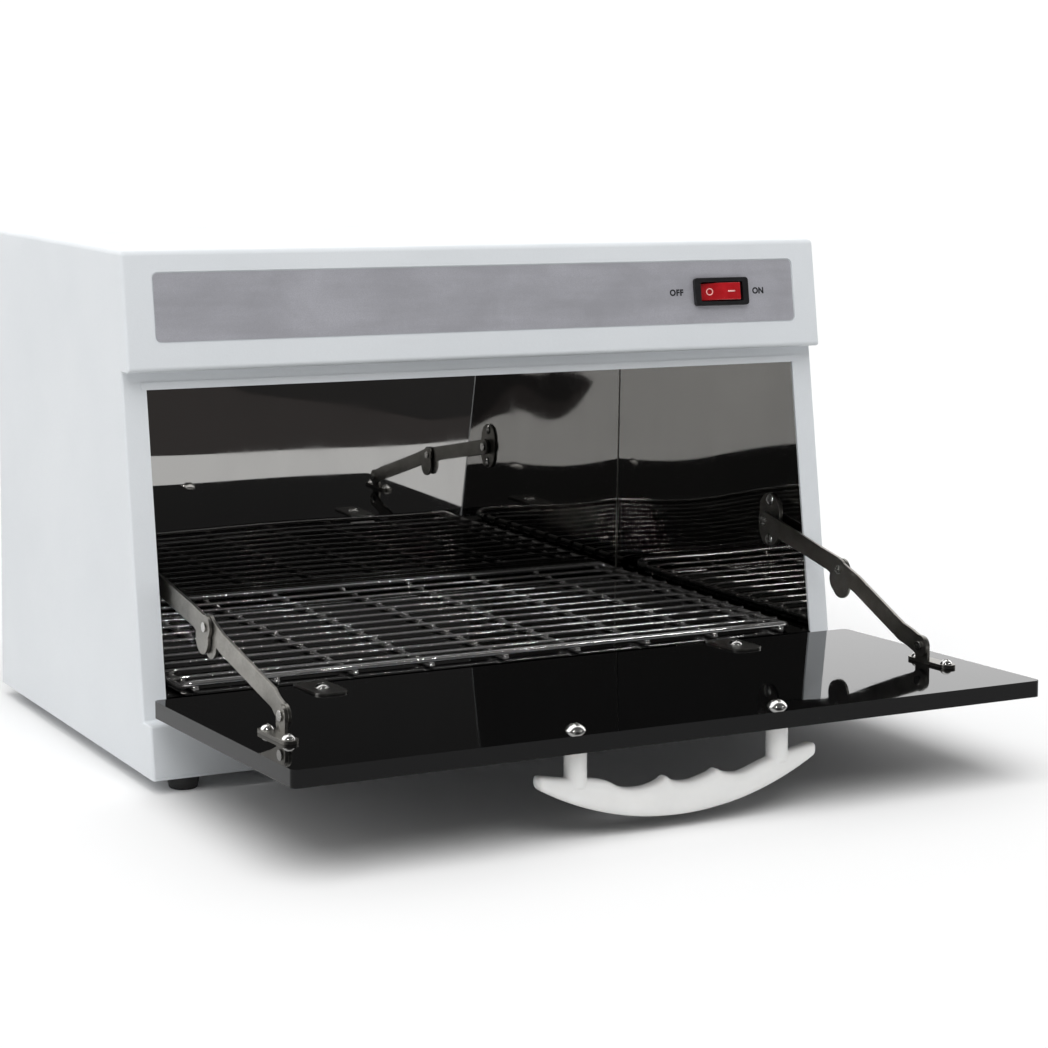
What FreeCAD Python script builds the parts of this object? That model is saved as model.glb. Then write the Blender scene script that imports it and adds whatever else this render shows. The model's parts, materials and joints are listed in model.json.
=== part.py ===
import FreeCAD, Part
import math
import os

from FreeCAD import Vector

# Bench-top ultraviolet sterilizer cabinet with a drop-down smoked door, shown with the door open.
# Frame: +Z up, front towards -Y, +X to the right.  The origin lies on the surface that the feet
# stand on, under the middle of the open cabinet (door included).  All sizes are in millimetres.

# ---------------------------------------------------------------- driving dimensions
WIDTH = 370.0                 # over the side panels
HEIGHT = 237.0                # surface to top panel
FOOT_H = 6.5
BACK_Y = 184.0                # outer face of the back panel
FRONT_Y = -32.0               # front face at the bottom edge
LEAN = math.radians(9.65)     # the front leans back by this angle
SHEET = 1.2                   # painted steel sheet
LINER = 1.0                   # polished steel liner sheet
BASE_TOP_Z = 30.3             # top of the base block
HEADER_Z = 183.5              # underside of the header
HEADER_BEND = 2.5             # bend radius of the header's lower edge
RECESS = 8.8                  # door frame behind the header and base faces
OPEN_HALF = 173.5             # half width of the opening and of the chamber
FRAME_S0 = 8.0                # foot of the door frame, up the slope
OPEN_Z0 = 40.0                # chamber floor
OPEN_Z1 = 175.3               # top of the opening
CEILING_Z = 200.0
LINER_BACK_Y = 176.0

LABEL = (341.2, 30.7, 0.35)   # width, height, thickness
LABEL_DROP = 25.3             # its centre below the top edge, along the slope
LABEL_RECESS = 0.5
LABEL_CORNER = 2.4
LABEL_GAP = 0.6               # between the label's edge and the side of its recess
SWITCH_X = 127.4
SWITCH_CUT = (28.4, 12.4)
BEZEL = (31.3, 13.8, 1.9)
ROCKER_TILT = 10.0            # degrees each way from level; at rest its left end is pressed in
ROCKER_PIVOT = -3.6           # pivot behind the header face

HINGE_S = 1.6                 # hinge axis above the base top, along the slope
HINGE_N = -3.0                # hinge axis in front of the header plane
HINGE_X = 110.0
KNUCKLE_R = 2.2
HINGE_PIN_R = 1.0
RUN_GAP = 0.06                # radial clearance of a running fit
LEAF_W = 16.0
LEAF_T = 1.0
LEAF_LEN = 27.0
MIDDLE = 2.8                  # half length of the moving knuckle
KNUCKLE_GAP = 0.4
LEAF_SCREW = 13.0             # screw of the moving leaf, from the door's lower edge
SCREW_HOLE_R = 1.45

DOOR_TILT = math.radians(1.78)   # the open door rises by this angle towards its free edge
DOOR_GAP = 1.4                # hinge axis to the door's lower edge
DOOR_LEN = 151.5
DOOR_T = 7.5
DOOR_CORNER = 3.0

STAY_PIVOT = (20.7, 91.3)     # wall pivot (y, z)
STAY_ELBOW = (-51.5, 78.0)    # elbow at rest
STAY_FOOT = (93.0, 18.74)     # bracket pivot: along the door from the hinge, above the hinge
STAY_PLATE = (20.6, 91.6)     # middle of the wall plate (y, z)
PLATE_T = 1.2
ARM_W = 9.2
UPPER_X = (167.3, 168.8)      # the arms at the elbow
LOWER_X = (165.4, 166.9)
UPPER_SPLAY = 1.8             # the upper arm runs outwards by this much towards the wall
LOWER_SPLAY = -5.0            # the lower arm runs inwards by this much towards the door
JOGGLE = 0.9                  # its short step back outwards, just above its foot
LOBE_R = 7.0
RIVET_R = 1.45
RIVET_HEAD = (2.2, 0.9)       # radius and height of the elbow and foot heads
FOOT_STRIP = (162.8, 170.4)   # x range of the door bracket's foot
TAB_T = 1.4                   # its tab stands on the inner edge
BRACKET_LEN = 31.0
BRACKET_SHIFT = 3.0           # the foot's middle, nearer the door's free edge than the tab
BRACKET_T = 1.5

HANDLE_X = -2.6
HANDLE_L = 142.5              # handle centre plane, along the door from the hinge
HANDLE_T = 9.0
POST_X = 50.3
POST_R = 5.0

RACK_HALF = 165.0
RACK_Y = (-13.0, 171.0)
RACK_FRAME_R = 1.6
RACK_WIRE_R = 1.0
RACK_CROSS_R = 1.25
RACK_WIRES = 11
RACK_CROSSES = 9
RACK_CORNER = 8.0

LAMP_Y = 70.0
LAMP_Z = 186.0
LAMP_R = 8.0
LAMP_HALF = 138.0
HOLDER_T = 8.0
LAMP_PIN_Y = (-2.4, 2.4)      # contact pins, from the lamp's axis

FOOT_X = 167.5
FOOT_Y = (-22.5, 168.0)
GLAND = (150.0, 26.0)         # x and z of the mains lead's hole in the back panel
BACK_SCREW_X = (-172.0, -60.0, 60.0, 172.0)
BACK_SCREW_Z = (13.0, 229.0)

X_DIR = Vector(1, 0, 0)
Y_DIR = Vector(0, 1, 0)
Z_DIR = Vector(0, 0, 1)
SIDES = {"left": -1.0, "right": 1.0}
HALF = WIDTH / 2.0


# ---------------------------------------------------------------- helpers
def save(node, *solids):
    """Write one node; several solids stay separate."""
    shape = solids[0] if len(solids) == 1 else Part.Compound(list(solids))
    for solid in shape.Solids:
        if not solid.isValid() or solid.Volume <= 0:
            raise RuntimeError(node + " is not a valid solid")
    shape.exportStep("parts/" + node + ".step")


def block(x0, x1, y0, y1, z0, z1):
    return Part.makeBox(x1 - x0, y1 - y0, z1 - z0, Vector(x0, y0, z0))


def rod(start, axis, radius, length):
    return Part.makeCylinder(radius, length, start, axis)


def rounded_along_x(shape, radius, *points):
    """Round the edges parallel to X that pass through the given (y, z) points."""
    chosen = []
    for edge in shape.Edges:
        centre = edge.CenterOfMass
        if abs(edge.BoundBox.XLength - edge.Length) > 1e-6:
            continue
        if any(math.hypot(centre.y - y, centre.z - z) < 1e-3 for y, z in points):
            chosen.append(edge)
    return shape.makeFillet(radius, chosen)


def prism_x(points, x0, x1):
    """Extrude a closed (y, z) outline along X."""
    loop = [Vector(x0, y, z) for y, z in points]
    face = Part.Face(Part.makePolygon(loop + loop[:1]))
    return face.extrude(Vector(x1 - x0, 0, 0))


def placed(shape, origin, x_axis, y_axis):
    """Move a shape from local axes to the given origin, X axis and Y axis."""
    z_axis = x_axis.cross(y_axis)
    m = FreeCAD.Matrix(
        x_axis.x, y_axis.x, z_axis.x, origin.x,
        x_axis.y, y_axis.y, z_axis.y, origin.y,
        x_axis.z, y_axis.z, z_axis.z, origin.z,
        0, 0, 0, 1)
    moved = shape.copy()
    moved.Placement = FreeCAD.Placement(m).multiply(shape.Placement)
    return moved


def mirrored(shape, side):
    """The shape as drawn for the right-hand side, or its mirror image for the left."""
    return shape if side > 0 else shape.mirror(Vector(0, 0, 0), X_DIR)


def both_sides(shape):
    return [mirrored(shape, side) for side in SIDES.values()]


def fused(first, *others):
    return first.fuse(list(others)).removeSplitter()


def rounded_plate(width, height, radius, z0, z1):
    """A plate centred on the local origin with rounded corners."""
    w, h, r = width / 2.0, height / 2.0, radius
    d = r * math.sqrt(0.5)
    edges = []
    corners = [(w - r, h - r, 1, 1), (-w + r, h - r, -1, 1), (-w + r, -h + r, -1, -1), (w - r, -h + r, 1, -1)]
    arcs = []
    for cx, cy, sx, sy in corners:
        first = Vector(cx + (r if sx * sy > 0 else 0) * sx, cy + (0 if sx * sy > 0 else r) * sy, z0)
        last = Vector(cx + (0 if sx * sy > 0 else r) * sx, cy + (r if sx * sy > 0 else 0) * sy, z0)
        arcs.append((first, Vector(cx + d * sx, cy + d * sy, z0), last))
    for i, (first, middle, last) in enumerate(arcs):
        edges.append(Part.Arc(first, middle, last).toShape())
        edges.append(Part.LineSegment(last, arcs[(i + 1) % 4][0]).toShape())
    edges = [e for e in edges if e.Length > 1e-6]
    return Part.Face(Part.Wire(edges)).extrude(Vector(0, 0, z1 - z0))


def dome_screw(head_d, head_h, shank_d, shank_len, cross=True):
    """A pan head on the local XY plane, its shank along -Z, with a cross recess."""
    r = head_d / 2.0
    ball = (r * r + head_h * head_h) / (2.0 * head_h)
    cap = Part.makeSphere(ball, Vector(0, 0, head_h - ball)).common(block(-r, r, -r, r, 0, head_h))
    screw = fused(cap, rod(Vector(0, 0, -shank_len), Z_DIR, shank_d / 2.0, shank_len))
    if cross:
        slot, depth = head_d * 0.09, head_h * 0.55
        for a, b in ((r * 0.55, slot), (slot, r * 0.55)):
            screw = screw.cut(block(-a, a, -b, b, head_h - depth, head_h + 1))
    return screw


def lean_yz(s, n):
    """Point at s up the sloping front face and n behind it."""
    return (FRONT_Y + s * math.sin(LEAN) + n * math.cos(LEAN),
            FOOT_H + s * math.cos(LEAN) - n * math.sin(LEAN))


def lean_at(z, n):
    """The (y, z) point at height z, n behind the sloping front face."""
    return (FRONT_Y + (z - FOOT_H) * math.tan(LEAN) + n / math.cos(LEAN), z)


def on_front(shape, x, s):
    """Place a local shape on the sloping front face: X right, Y up the slope, Z outwards."""
    y, z = lean_yz(s, 0)
    return placed(shape, Vector(x, y, z), X_DIR, Vector(0, math.sin(LEAN), math.cos(LEAN)))


def slope_of(z):
    return (z - FOOT_H) / math.cos(LEAN)


TOP_S = slope_of(HEIGHT)
HINGE_YZ = lean_yz(slope_of(BASE_TOP_Z) + HINGE_S, HINGE_N)
FRAME_S1 = slope_of(CEILING_Z + LINER) + 1.5
LEAF_S0 = slope_of(BASE_TOP_Z) - 19.0
KNUCKLE_S = slope_of(BASE_TOP_Z) + HINGE_S
STAY_SCREW_Z = (STAY_PLATE[1] - 10.4, STAY_PLATE[1] + 10.4)
DOOR_H0 = -HINGE_N            # the door's outer face above the hinge axis
DOOR_H1 = DOOR_H0 + DOOR_T    # its inner face


def door_yz(l, h):
    """Point at l along the open door from the hinge axis and h above it."""
    return (HINGE_YZ[0] - l * math.cos(DOOR_TILT) + h * math.sin(DOOR_TILT),
            HINGE_YZ[1] + l * math.sin(DOOR_TILT) + h * math.cos(DOOR_TILT))


def on_door(shape, x, l, h=DOOR_H1, inside=True):
    """Place a local shape on the door: Z points out of its inner (or outer) face."""
    y, z = door_yz(l, h)
    along = Vector(0, -math.cos(DOOR_TILT), math.sin(DOOR_TILT))
    return placed(shape, Vector(x, y, z), Vector(-1, 0, 0) if inside else X_DIR, along)


# ---------------------------------------------------------------- painted casing
def side_panel():
    outline = [
        (BACK_Y, FOOT_H), lean_at(FOOT_H, 0), lean_at(BASE_TOP_Z, 0), lean_at(BASE_TOP_Z, RECESS),
        lean_at(HEADER_Z, RECESS), lean_at(HEADER_Z, 0), lean_at(HEIGHT - SHEET, 0), (BACK_Y, HEIGHT - SHEET)]
    return rounded_along_x(prism_x(outline, HALF - SHEET, HALF), HEADER_BEND, lean_at(HEADER_Z, 0))


def top_panel():
    front = lean_at(HEIGHT, 0)[0]
    return block(-HALF, HALF, front, BACK_Y, HEIGHT - SHEET, HEIGHT)


def switch_opening(size):
    return rounded_plate(size[0], size[1], 1.0, -30, 30)


def header_panel():
    top = HEIGHT - SHEET
    wall = SHEET + LABEL_RECESS
    outline = [
        lean_at(HEADER_Z, 0), lean_at(HEADER_Z, RECESS), lean_at(HEADER_Z + SHEET, RECESS),
        lean_at(HEADER_Z + SHEET, wall), lean_at(top, wall), lean_at(top, 0)]
    panel = prism_x(outline, -HALF + SHEET, HALF - SHEET)
    panel = rounded_along_x(panel, HEADER_BEND, lean_at(HEADER_Z, 0))
    recess = rounded_plate(LABEL[0] + 2 * LABEL_GAP, LABEL[1] + 2 * LABEL_GAP, LABEL_CORNER + LABEL_GAP,
                           -LABEL_RECESS, 5.0)
    panel = panel.cut(on_front(recess, 0, TOP_S - LABEL_DROP))
    return panel.cut(on_front(switch_opening(SWITCH_CUT), SWITCH_X, TOP_S - LABEL_DROP))


def control_label():
    plate = rounded_plate(LABEL[0], LABEL[1], LABEL_CORNER, -LABEL_RECESS, LABEL[2] - LABEL_RECESS)
    plate = on_front(plate, 0, TOP_S - LABEL_DROP)
    return plate.cut(on_front(switch_opening(SWITCH_CUT), SWITCH_X, TOP_S - LABEL_DROP))


def base_fascia():
    outline = [
        lean_at(FOOT_H + SHEET, 0), lean_at(BASE_TOP_Z, 0), lean_at(BASE_TOP_Z, RECESS),
        lean_at(BASE_TOP_Z - SHEET, RECESS), lean_at(BASE_TOP_Z - SHEET, SHEET), lean_at(FOOT_H + SHEET, SHEET)]
    fascia = prism_x(outline, -HALF + SHEET, HALF - SHEET)
    for x, s in hinge_base_screw_places():
        fascia = fascia.cut(on_front(rod(Vector(0, 0, -5), Z_DIR, SCREW_HOLE_R, 8), x, s))
    return fascia


def foot_places():
    return [(x, y) for x in (-FOOT_X, FOOT_X) for y in FOOT_Y]


def bottom_pan():
    front = lean_at(FOOT_H, 0)[0]
    pan = block(-HALF + SHEET, HALF - SHEET, front, BACK_Y, FOOT_H, FOOT_H + SHEET)
    for x, y in foot_places():
        pan = pan.cut(rod(Vector(x, y, FOOT_H - 1), Z_DIR, 2.0, SHEET + 2))
    return pan


def louvre_places():
    return [(x, z) for z in (204.0, 212.0, 220.0) for x in (-90.0, 0.0, 90.0)]


def back_screw_places():
    return [(x, z) for x in BACK_SCREW_X for z in BACK_SCREW_Z]


def back_panel():
    z0, z1 = FOOT_H + SHEET, HEIGHT - SHEET
    panel = block(-HALF + SHEET, HALF - SHEET, BACK_Y - SHEET, BACK_Y, z0, z1)
    for x, z in louvre_places():
        slot = rounded_plate(56.0, 3.2, 1.5, -1, SHEET + 1)
        panel = panel.cut(placed(slot, Vector(x, BACK_Y, z), Vector(-1, 0, 0), Z_DIR))
    panel = panel.cut(rod(Vector(GLAND[0], BACK_Y - 5, GLAND[1]), Y_DIR, 5.0, 10))
    for x, z in back_screw_places():
        panel = panel.cut(rod(Vector(x, BACK_Y - 5, z), Y_DIR, 1.6, 10))
    return panel


def frame_strip(x0, x1, s0, s1):
    """A flat strip of the door frame, behind the header and base faces."""
    corners = [lean_yz(s0, RECESS), lean_yz(s1, RECESS), lean_yz(s1, RECESS + SHEET), lean_yz(s0, RECESS + SHEET)]
    return prism_x(corners, x0, x1)


def frame_slope_of(z):
    """Distance up the slope at which the door frame's outer face reaches height z."""
    return slope_of(z) + RECESS * math.tan(LEAN)


# ---------------------------------------------------------------- polished chamber
def liner_side():
    behind = RECESS + SHEET
    z0, z1 = OPEN_Z0 - LINER, CEILING_Z + LINER
    outline = [lean_at(z0, behind), lean_at(z1, behind), (LINER_BACK_Y + LINER, z1), (LINER_BACK_Y + LINER, z0)]
    side = prism_x(outline, OPEN_HALF, OPEN_HALF + LINER)
    for z in STAY_SCREW_Z:
        side = side.cut(rod(Vector(OPEN_HALF - 1, STAY_PLATE[0], z), X_DIR, 1.5, LINER + 2))
    return side


def liner_back():
    return block(-OPEN_HALF, OPEN_HALF, LINER_BACK_Y, LINER_BACK_Y + LINER, OPEN_Z0 - LINER, CEILING_Z + LINER)


def liner_slab(z0, z1, behind=RECESS + SHEET):
    """A level liner sheet; its front edge lies the given distance behind the sloping front."""
    outline = [lean_at(z0, behind), lean_at(z1, behind), (LINER_BACK_Y, z1), (LINER_BACK_Y, z0)]
    return prism_x(outline, -OPEN_HALF, OPEN_HALF)


# ---------------------------------------------------------------- lamp and electrical pieces
def lamp_caps():
    caps = []
    for side in SIDES.values():
        cap = rod(Vector(LAMP_HALF * side, LAMP_Y, LAMP_Z), X_DIR * side, LAMP_R + 0.3, 6.0)
        pins = [rod(Vector((LAMP_HALF + 6.0) * side, LAMP_Y + dy, LAMP_Z), X_DIR * side, 1.15, 6.0)
                for dy in LAMP_PIN_Y]
        caps.append(fused(cap, *pins))
    return caps


def lamp_holder():
    """A push-in holder hanging from the ceiling at the lamp's right-hand end."""
    x0 = LAMP_HALF + 6.2
    body = block(x0, x0 + HOLDER_T, LAMP_Y - 9, LAMP_Y + 9, LAMP_Z, CEILING_Z)
    body = fused(body, rod(Vector(x0, LAMP_Y, LAMP_Z), X_DIR, 9.0, HOLDER_T))
    for dy in LAMP_PIN_Y:
        body = body.cut(rod(Vector(x0 - 1, LAMP_Y + dy, LAMP_Z), X_DIR, 1.3, 7.5))
    return body


def lamp_reflector():
    """A shallow trough of polished sheet between the lamp and the ceiling."""
    half, rise, t = 26.0, 6.0, 0.6
    z = CEILING_Z - 0.05
    outer = [(LAMP_Y - half, z - rise), (LAMP_Y - 13, z), (LAMP_Y + 13, z), (LAMP_Y + half, z - rise)]
    inner = [(y, h - t) for y, h in reversed(outer)]
    return prism_x(outer + inner, -LAMP_HALF + 4, LAMP_HALF - 4)


def ballast():
    z0 = CEILING_Z + LINER
    core = block(-118, -58, 52, 90, z0 + 1.0, z0 + 25.0)
    foot = block(-130, -46, 56, 86, z0, z0 + 1.0)
    coils = [block(x0, x0 + 7, 57, 85, z0 + 5, z0 + 21) for x0 in (-125, -58)]
    return fused(foot, core, *coils)


def starter():
    z0 = CEILING_Z + LINER
    return rod(Vector(4, 71, z0 + 12.5), X_DIR, 10.5, 34.0)


def starter_socket():
    z0 = CEILING_Z + LINER
    socket = block(-8, 4, 58, 84, z0, z0 + 25)
    return fused(socket, block(-8, 30, 66, 76, z0, z0 + 1.5))


def terminal_block():
    z0 = CEILING_Z + LINER
    body = block(60, 96, 62, 80, z0, z0 + 9)
    posts = [block(62 + 12 * i, 70 + 12 * i, 65, 77, z0 + 9, z0 + 14) for i in range(3)]
    return fused(body, *posts)


def swept_wire(points, radius, bend=5.0):
    """A round wire along straight runs joined by tangent arcs."""
    edges = []
    start = points[0]
    for before, corner, after in zip(points, points[1:], points[2:]):
        inward = (before - corner).normalize()
        onward = (after - corner).normalize()
        half = inward.getAngle(onward) / 2.0
        reach = bend / math.tan(half)
        middle = (inward + onward).normalize()
        centre = corner + middle * (bend / math.sin(half))
        first, last = corner + inward * reach, corner + onward * reach
        edges.append(Part.LineSegment(start, first).toShape())
        edges.append(Part.Arc(first, centre - middle * bend, last).toShape())
        start = last
    edges.append(Part.LineSegment(start, points[-1]).toShape())
    path = Part.Wire(edges)
    ring = Part.Wire(Part.makeCircle(radius, points[0], points[1] - points[0]))
    return path.makePipeShell([ring], True, False)


def lead_wires():
    """Single wires above the ceiling and down the cavity behind the liner."""
    level = CEILING_Z + LINER
    switch_y, switch_z = lean_yz(TOP_S - LABEL_DROP, 24.5)
    runs = [
        [Vector(GLAND[0], BACK_Y - 4.5, GLAND[1] + 7), Vector(GLAND[0], BACK_Y - 4.5, level + 16),
         Vector(GLAND[0], 90, level + 16), Vector(82, 90, level + 16), Vector(82, 90, level + 10.3),
         Vector(82, 80.2, level + 10.3)],
        [Vector(SWITCH_X - 5, switch_y, switch_z), Vector(SWITCH_X - 5, 40, switch_z), Vector(78, 40, switch_z),
         Vector(78, 40, level + 11), Vector(78, 64.8, level + 11)],
        [Vector(66, 64.8, level + 11), Vector(66, 48, level + 11), Vector(-90, 48, level + 11),
         Vector(-90, 51.8, level + 11)],
    ]
    return [swept_wire(run, 0.9, 1.8) for run in runs]


def cord_gland():
    """A flanged bush in the back panel that a mains lead passes through."""
    x, z = GLAND
    gland = rod(Vector(x, BACK_Y - 4.0, z), Y_DIR, 4.9, 4.0)
    flange = rod(Vector(x, BACK_Y, z), Y_DIR, 8.0, 1.5)
    collar = Part.makeCone(6.0, 5.2, 2.0, Vector(x, BACK_Y + 1.5, z), Y_DIR)
    return fused(gland, flange, collar).cut(rod(Vector(x, BACK_Y - 6, z), Y_DIR, 3.4, 20))


# ---------------------------------------------------------------- switch
def switch_housing():
    """The bezel, the body behind the panel, and two blade terminals."""
    floor = LABEL[2] - LABEL_RECESS
    housing = fused(
        rounded_plate(BEZEL[0], BEZEL[1], 1.6, floor, BEZEL[2]),
        rounded_plate(27.6, 11.6, 0.8, -18.0, floor))
    housing = housing.cut(rounded_plate(24.6, 9.6, 0.6, -11.0, 5.0))
    for x in (-6.0, 6.0):
        housing = fused(housing, block(x - 0.4, x + 0.4, -3.1, 3.1, -24.0, -18.0))
    return on_front(housing, SWITCH_X, TOP_S - LABEL_DROP)


def rocker():
    """A roof-shaped rocker on its pivot, with its left end pressed in."""
    end, ridge, depth = 11.3, 2.9, -3.0
    outline = [(-end, depth), (-end, 0.9), (0, ridge), (end, 0.9), (end, depth), (4.0, -7.0), (-4.0, -7.0)]
    loop = [Vector(x, 0, z) for x, z in outline]
    body = Part.Face(Part.makePolygon(loop + loop[:1])).extrude(Vector(0, 8.6, 0))
    body.translate(Vector(0, -4.3, 0))
    body.rotate(Vector(0, 0, ROCKER_PIVOT), Y_DIR, -ROCKER_TILT)
    return on_front(body, SWITCH_X, TOP_S - LABEL_DROP)


# ---------------------------------------------------------------- door hinges
def hinge_base_screw_places():
    return [(x + dx, LEAF_S0 + 8.0) for x in (-HINGE_X, HINGE_X) for dx in (-4.5, 4.5)]


def hinge_base_leaf(x):
    """The fixed leaf on the base block, with an outer knuckle at each end."""
    half = LEAF_W / 2.0
    leaf = rounded_plate(LEAF_W, 17.0, 2.0, 0, LEAF_T)
    leaf = on_front(leaf, x, LEAF_S0 + 8.5)
    y, z = HINGE_YZ
    for side in SIDES.values():
        inner, outer = side * (MIDDLE + KNUCKLE_GAP), side * half
        x0, x1 = x + min(inner, outer), x + max(inner, outer)
        lug = [lean_yz(LEAF_S0 + 15, -LEAF_T), lean_yz(LEAF_S0 + 15, 0), lean_yz(KNUCKLE_S, 0),
               lean_yz(KNUCKLE_S, HINGE_N + 1.0)]
        leaf = fused(leaf, prism_x(lug, x0, x1), rod(Vector(x0, y, z), X_DIR, KNUCKLE_R, x1 - x0))
    leaf = leaf.cut(rod(Vector(x - half - 1, y, z), X_DIR, HINGE_PIN_R, LEAF_W + 2))
    for screw_x, s in hinge_base_screw_places():
        leaf = leaf.cut(on_front(rod(Vector(0, 0, -1), Z_DIR, SCREW_HOLE_R, 4), screw_x, s))
    return leaf


def hinge_door_leaf(x):
    """The moving leaf: knuckle, a strip round the door's lower edge, and a tongue up its inner face."""
    y, z = HINGE_YZ
    barrel = rod(Vector(x - MIDDLE, y, z), X_DIR, KNUCKLE_R, 2 * MIDDLE)
    low = DOOR_GAP - LEAF_T
    root = prism_x([door_yz(low, 0.5), door_yz(DOOR_GAP, 0.5), door_yz(DOOR_GAP, DOOR_H0), door_yz(low, DOOR_H0)],
                   x - MIDDLE, x + MIDDLE)
    half = LEAF_W / 2.0
    wrap = prism_x([door_yz(low, DOOR_H0), door_yz(DOOR_GAP, DOOR_H0), door_yz(DOOR_GAP, DOOR_H1 + LEAF_T),
                    door_yz(low, DOOR_H1 + LEAF_T)], x - half, x + half)
    tongue = rounded_plate(LEAF_W, LEAF_LEN + 6.0, 5.0, 0, LEAF_T)
    tongue = tongue.cut(block(-LEAF_W, LEAF_W, -LEAF_LEN, -LEAF_LEN / 2.0 + 3.0, -1, 3))
    tongue = on_door(tongue, x, DOOR_GAP + LEAF_LEN / 2.0 - 3.0)
    leaf = fused(barrel, root, wrap, tongue)
    leaf = leaf.cut(rod(Vector(x - half, y, z), X_DIR, HINGE_PIN_R + RUN_GAP, LEAF_W))
    return leaf.cut(on_door(rod(Vector(0, 0, -1), Z_DIR, SCREW_HOLE_R, 4), x, DOOR_GAP + LEAF_SCREW))


def hinge_pin(x):
    y, z = HINGE_YZ
    half = LEAF_W / 2.0
    return rod(Vector(x - half, y, z), X_DIR, HINGE_PIN_R, LEAF_W)


# ---------------------------------------------------------------- door
def door_panel():
    plate = rounded_plate(WIDTH, DOOR_LEN, DOOR_CORNER, -DOOR_T, 0)
    plate = on_door(plate, 0, DOOR_GAP + DOOR_LEN / 2.0)
    for x in (-HINGE_X, HINGE_X):
        plate = plate.cut(on_door(rod(Vector(0, 0, -5.5), Z_DIR, SCREW_HOLE_R, 8), x, DOOR_GAP + LEAF_SCREW))
    for x in (HANDLE_X - POST_X, HANDLE_X + POST_X):
        plate = plate.cut(on_door(rod(Vector(0, 0, -DOOR_T - 1), Z_DIR, 2.1, DOOR_T + 2), x, HANDLE_L))
    for x, l in bracket_screw_places():
        plate = plate.cut(on_door(rod(Vector(0, 0, -5.5), Z_DIR, SCREW_HOLE_R, 8), x, l))
    return plate


def handle():
    """A bow handle: two round posts and a crescent grip with finger hollows on its inner edge."""
    tip_x, tip_in, tip_out, crown = 68.0, 9.6, 15.0, 34.0
    fingers = [(-56, 12.0), (-43.4, 13.4), (-36, 15.2), (-28.5, 18.9), (-20, 20.0), (-13.2, 19.0), (-7.3, 16.9),
               (-0.8, 19.2), (5.5, 19.7), (12.2, 18.0), (18.3, 16.5), (25.0, 18.4), (31, 18.9), (37.5, 17.0),
               (45.4, 14.4), (56, 12.0)]
    inner = Part.BSplineCurve()
    ends = [Vector(-tip_x, 0, tip_in), Vector(tip_x, 0, tip_in)]
    inner.interpolate([ends[0]] + [Vector(x, 0, w) for x, w in fingers] + [ends[1]])
    outer_ends = [Vector(-tip_x - 1.5, 0, tip_out), Vector(tip_x + 1.5, 0, tip_out)]
    wire = Part.Wire([
        inner.toShape(),
        Part.LineSegment(ends[1], outer_ends[1]).toShape(),
        Part.Arc(outer_ends[1], Vector(0, 0, crown), outer_ends[0]).toShape(),
        Part.LineSegment(outer_ends[0], ends[0]).toShape()])
    grip = Part.Face(wire).extrude(Vector(0, HANDLE_T, 0))
    grip.translate(Vector(0, -HANDLE_T / 2.0, 0))
    posts = [rod(Vector(x, 0, 0), Z_DIR, POST_R, 15.0) for x in (-POST_X, POST_X)]
    whole = fused(grip, *posts)
    for x in (-POST_X, POST_X):
        whole = whole.cut(rod(Vector(x, 0, -1), Z_DIR, 1.9, 12))
    return on_door(whole, HANDLE_X, HANDLE_L, DOOR_H0, inside=False)


# ---------------------------------------------------------------- door stays, drawn for the right-hand side
def bracket_screw_places():
    x = (FOOT_STRIP[0] + FOOT_STRIP[1]) / 2.0
    middle = STAY_FOOT[0] + BRACKET_SHIFT
    return [(side * x, middle + dl) for side in SIDES.values() for dl in (-11.0, 11.0)]


def stay_wall_plate():
    plate = rounded_plate(18.0, 27.6, 8.9, 0, PLATE_T)
    plate = placed(plate, Vector(OPEN_HALF, STAY_PLATE[0], STAY_PLATE[1]), Vector(0, -1, 0), Z_DIR)
    for z in STAY_SCREW_Z:
        plate = plate.cut(rod(Vector(OPEN_HALF - 5, STAY_PLATE[0], z), X_DIR, 1.5, 9))
    return plate.cut(rod(Vector(OPEN_HALF - 5, *STAY_PIVOT), X_DIR, RIVET_R, 9))


def stay_wall_rivet():
    """Headed rivet with a spacing collar between the arm and the wall plate."""
    face = OPEN_HALF - PLATE_T
    inner, outer = UPPER_X[0] + UPPER_SPLAY, UPPER_X[1] + UPPER_SPLAY
    head = rod(Vector(inner - 1.0, *STAY_PIVOT), X_DIR, 2.6, 0.9)
    shaft = rod(Vector(inner - 0.2, *STAY_PIVOT), X_DIR, RIVET_R, OPEN_HALF - inner + 0.2)
    collar = rod(Vector(outer + 0.1, *STAY_PIVOT), X_DIR, 4.2, face - outer - 0.1)
    return fused(shaft, head, collar)


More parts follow.
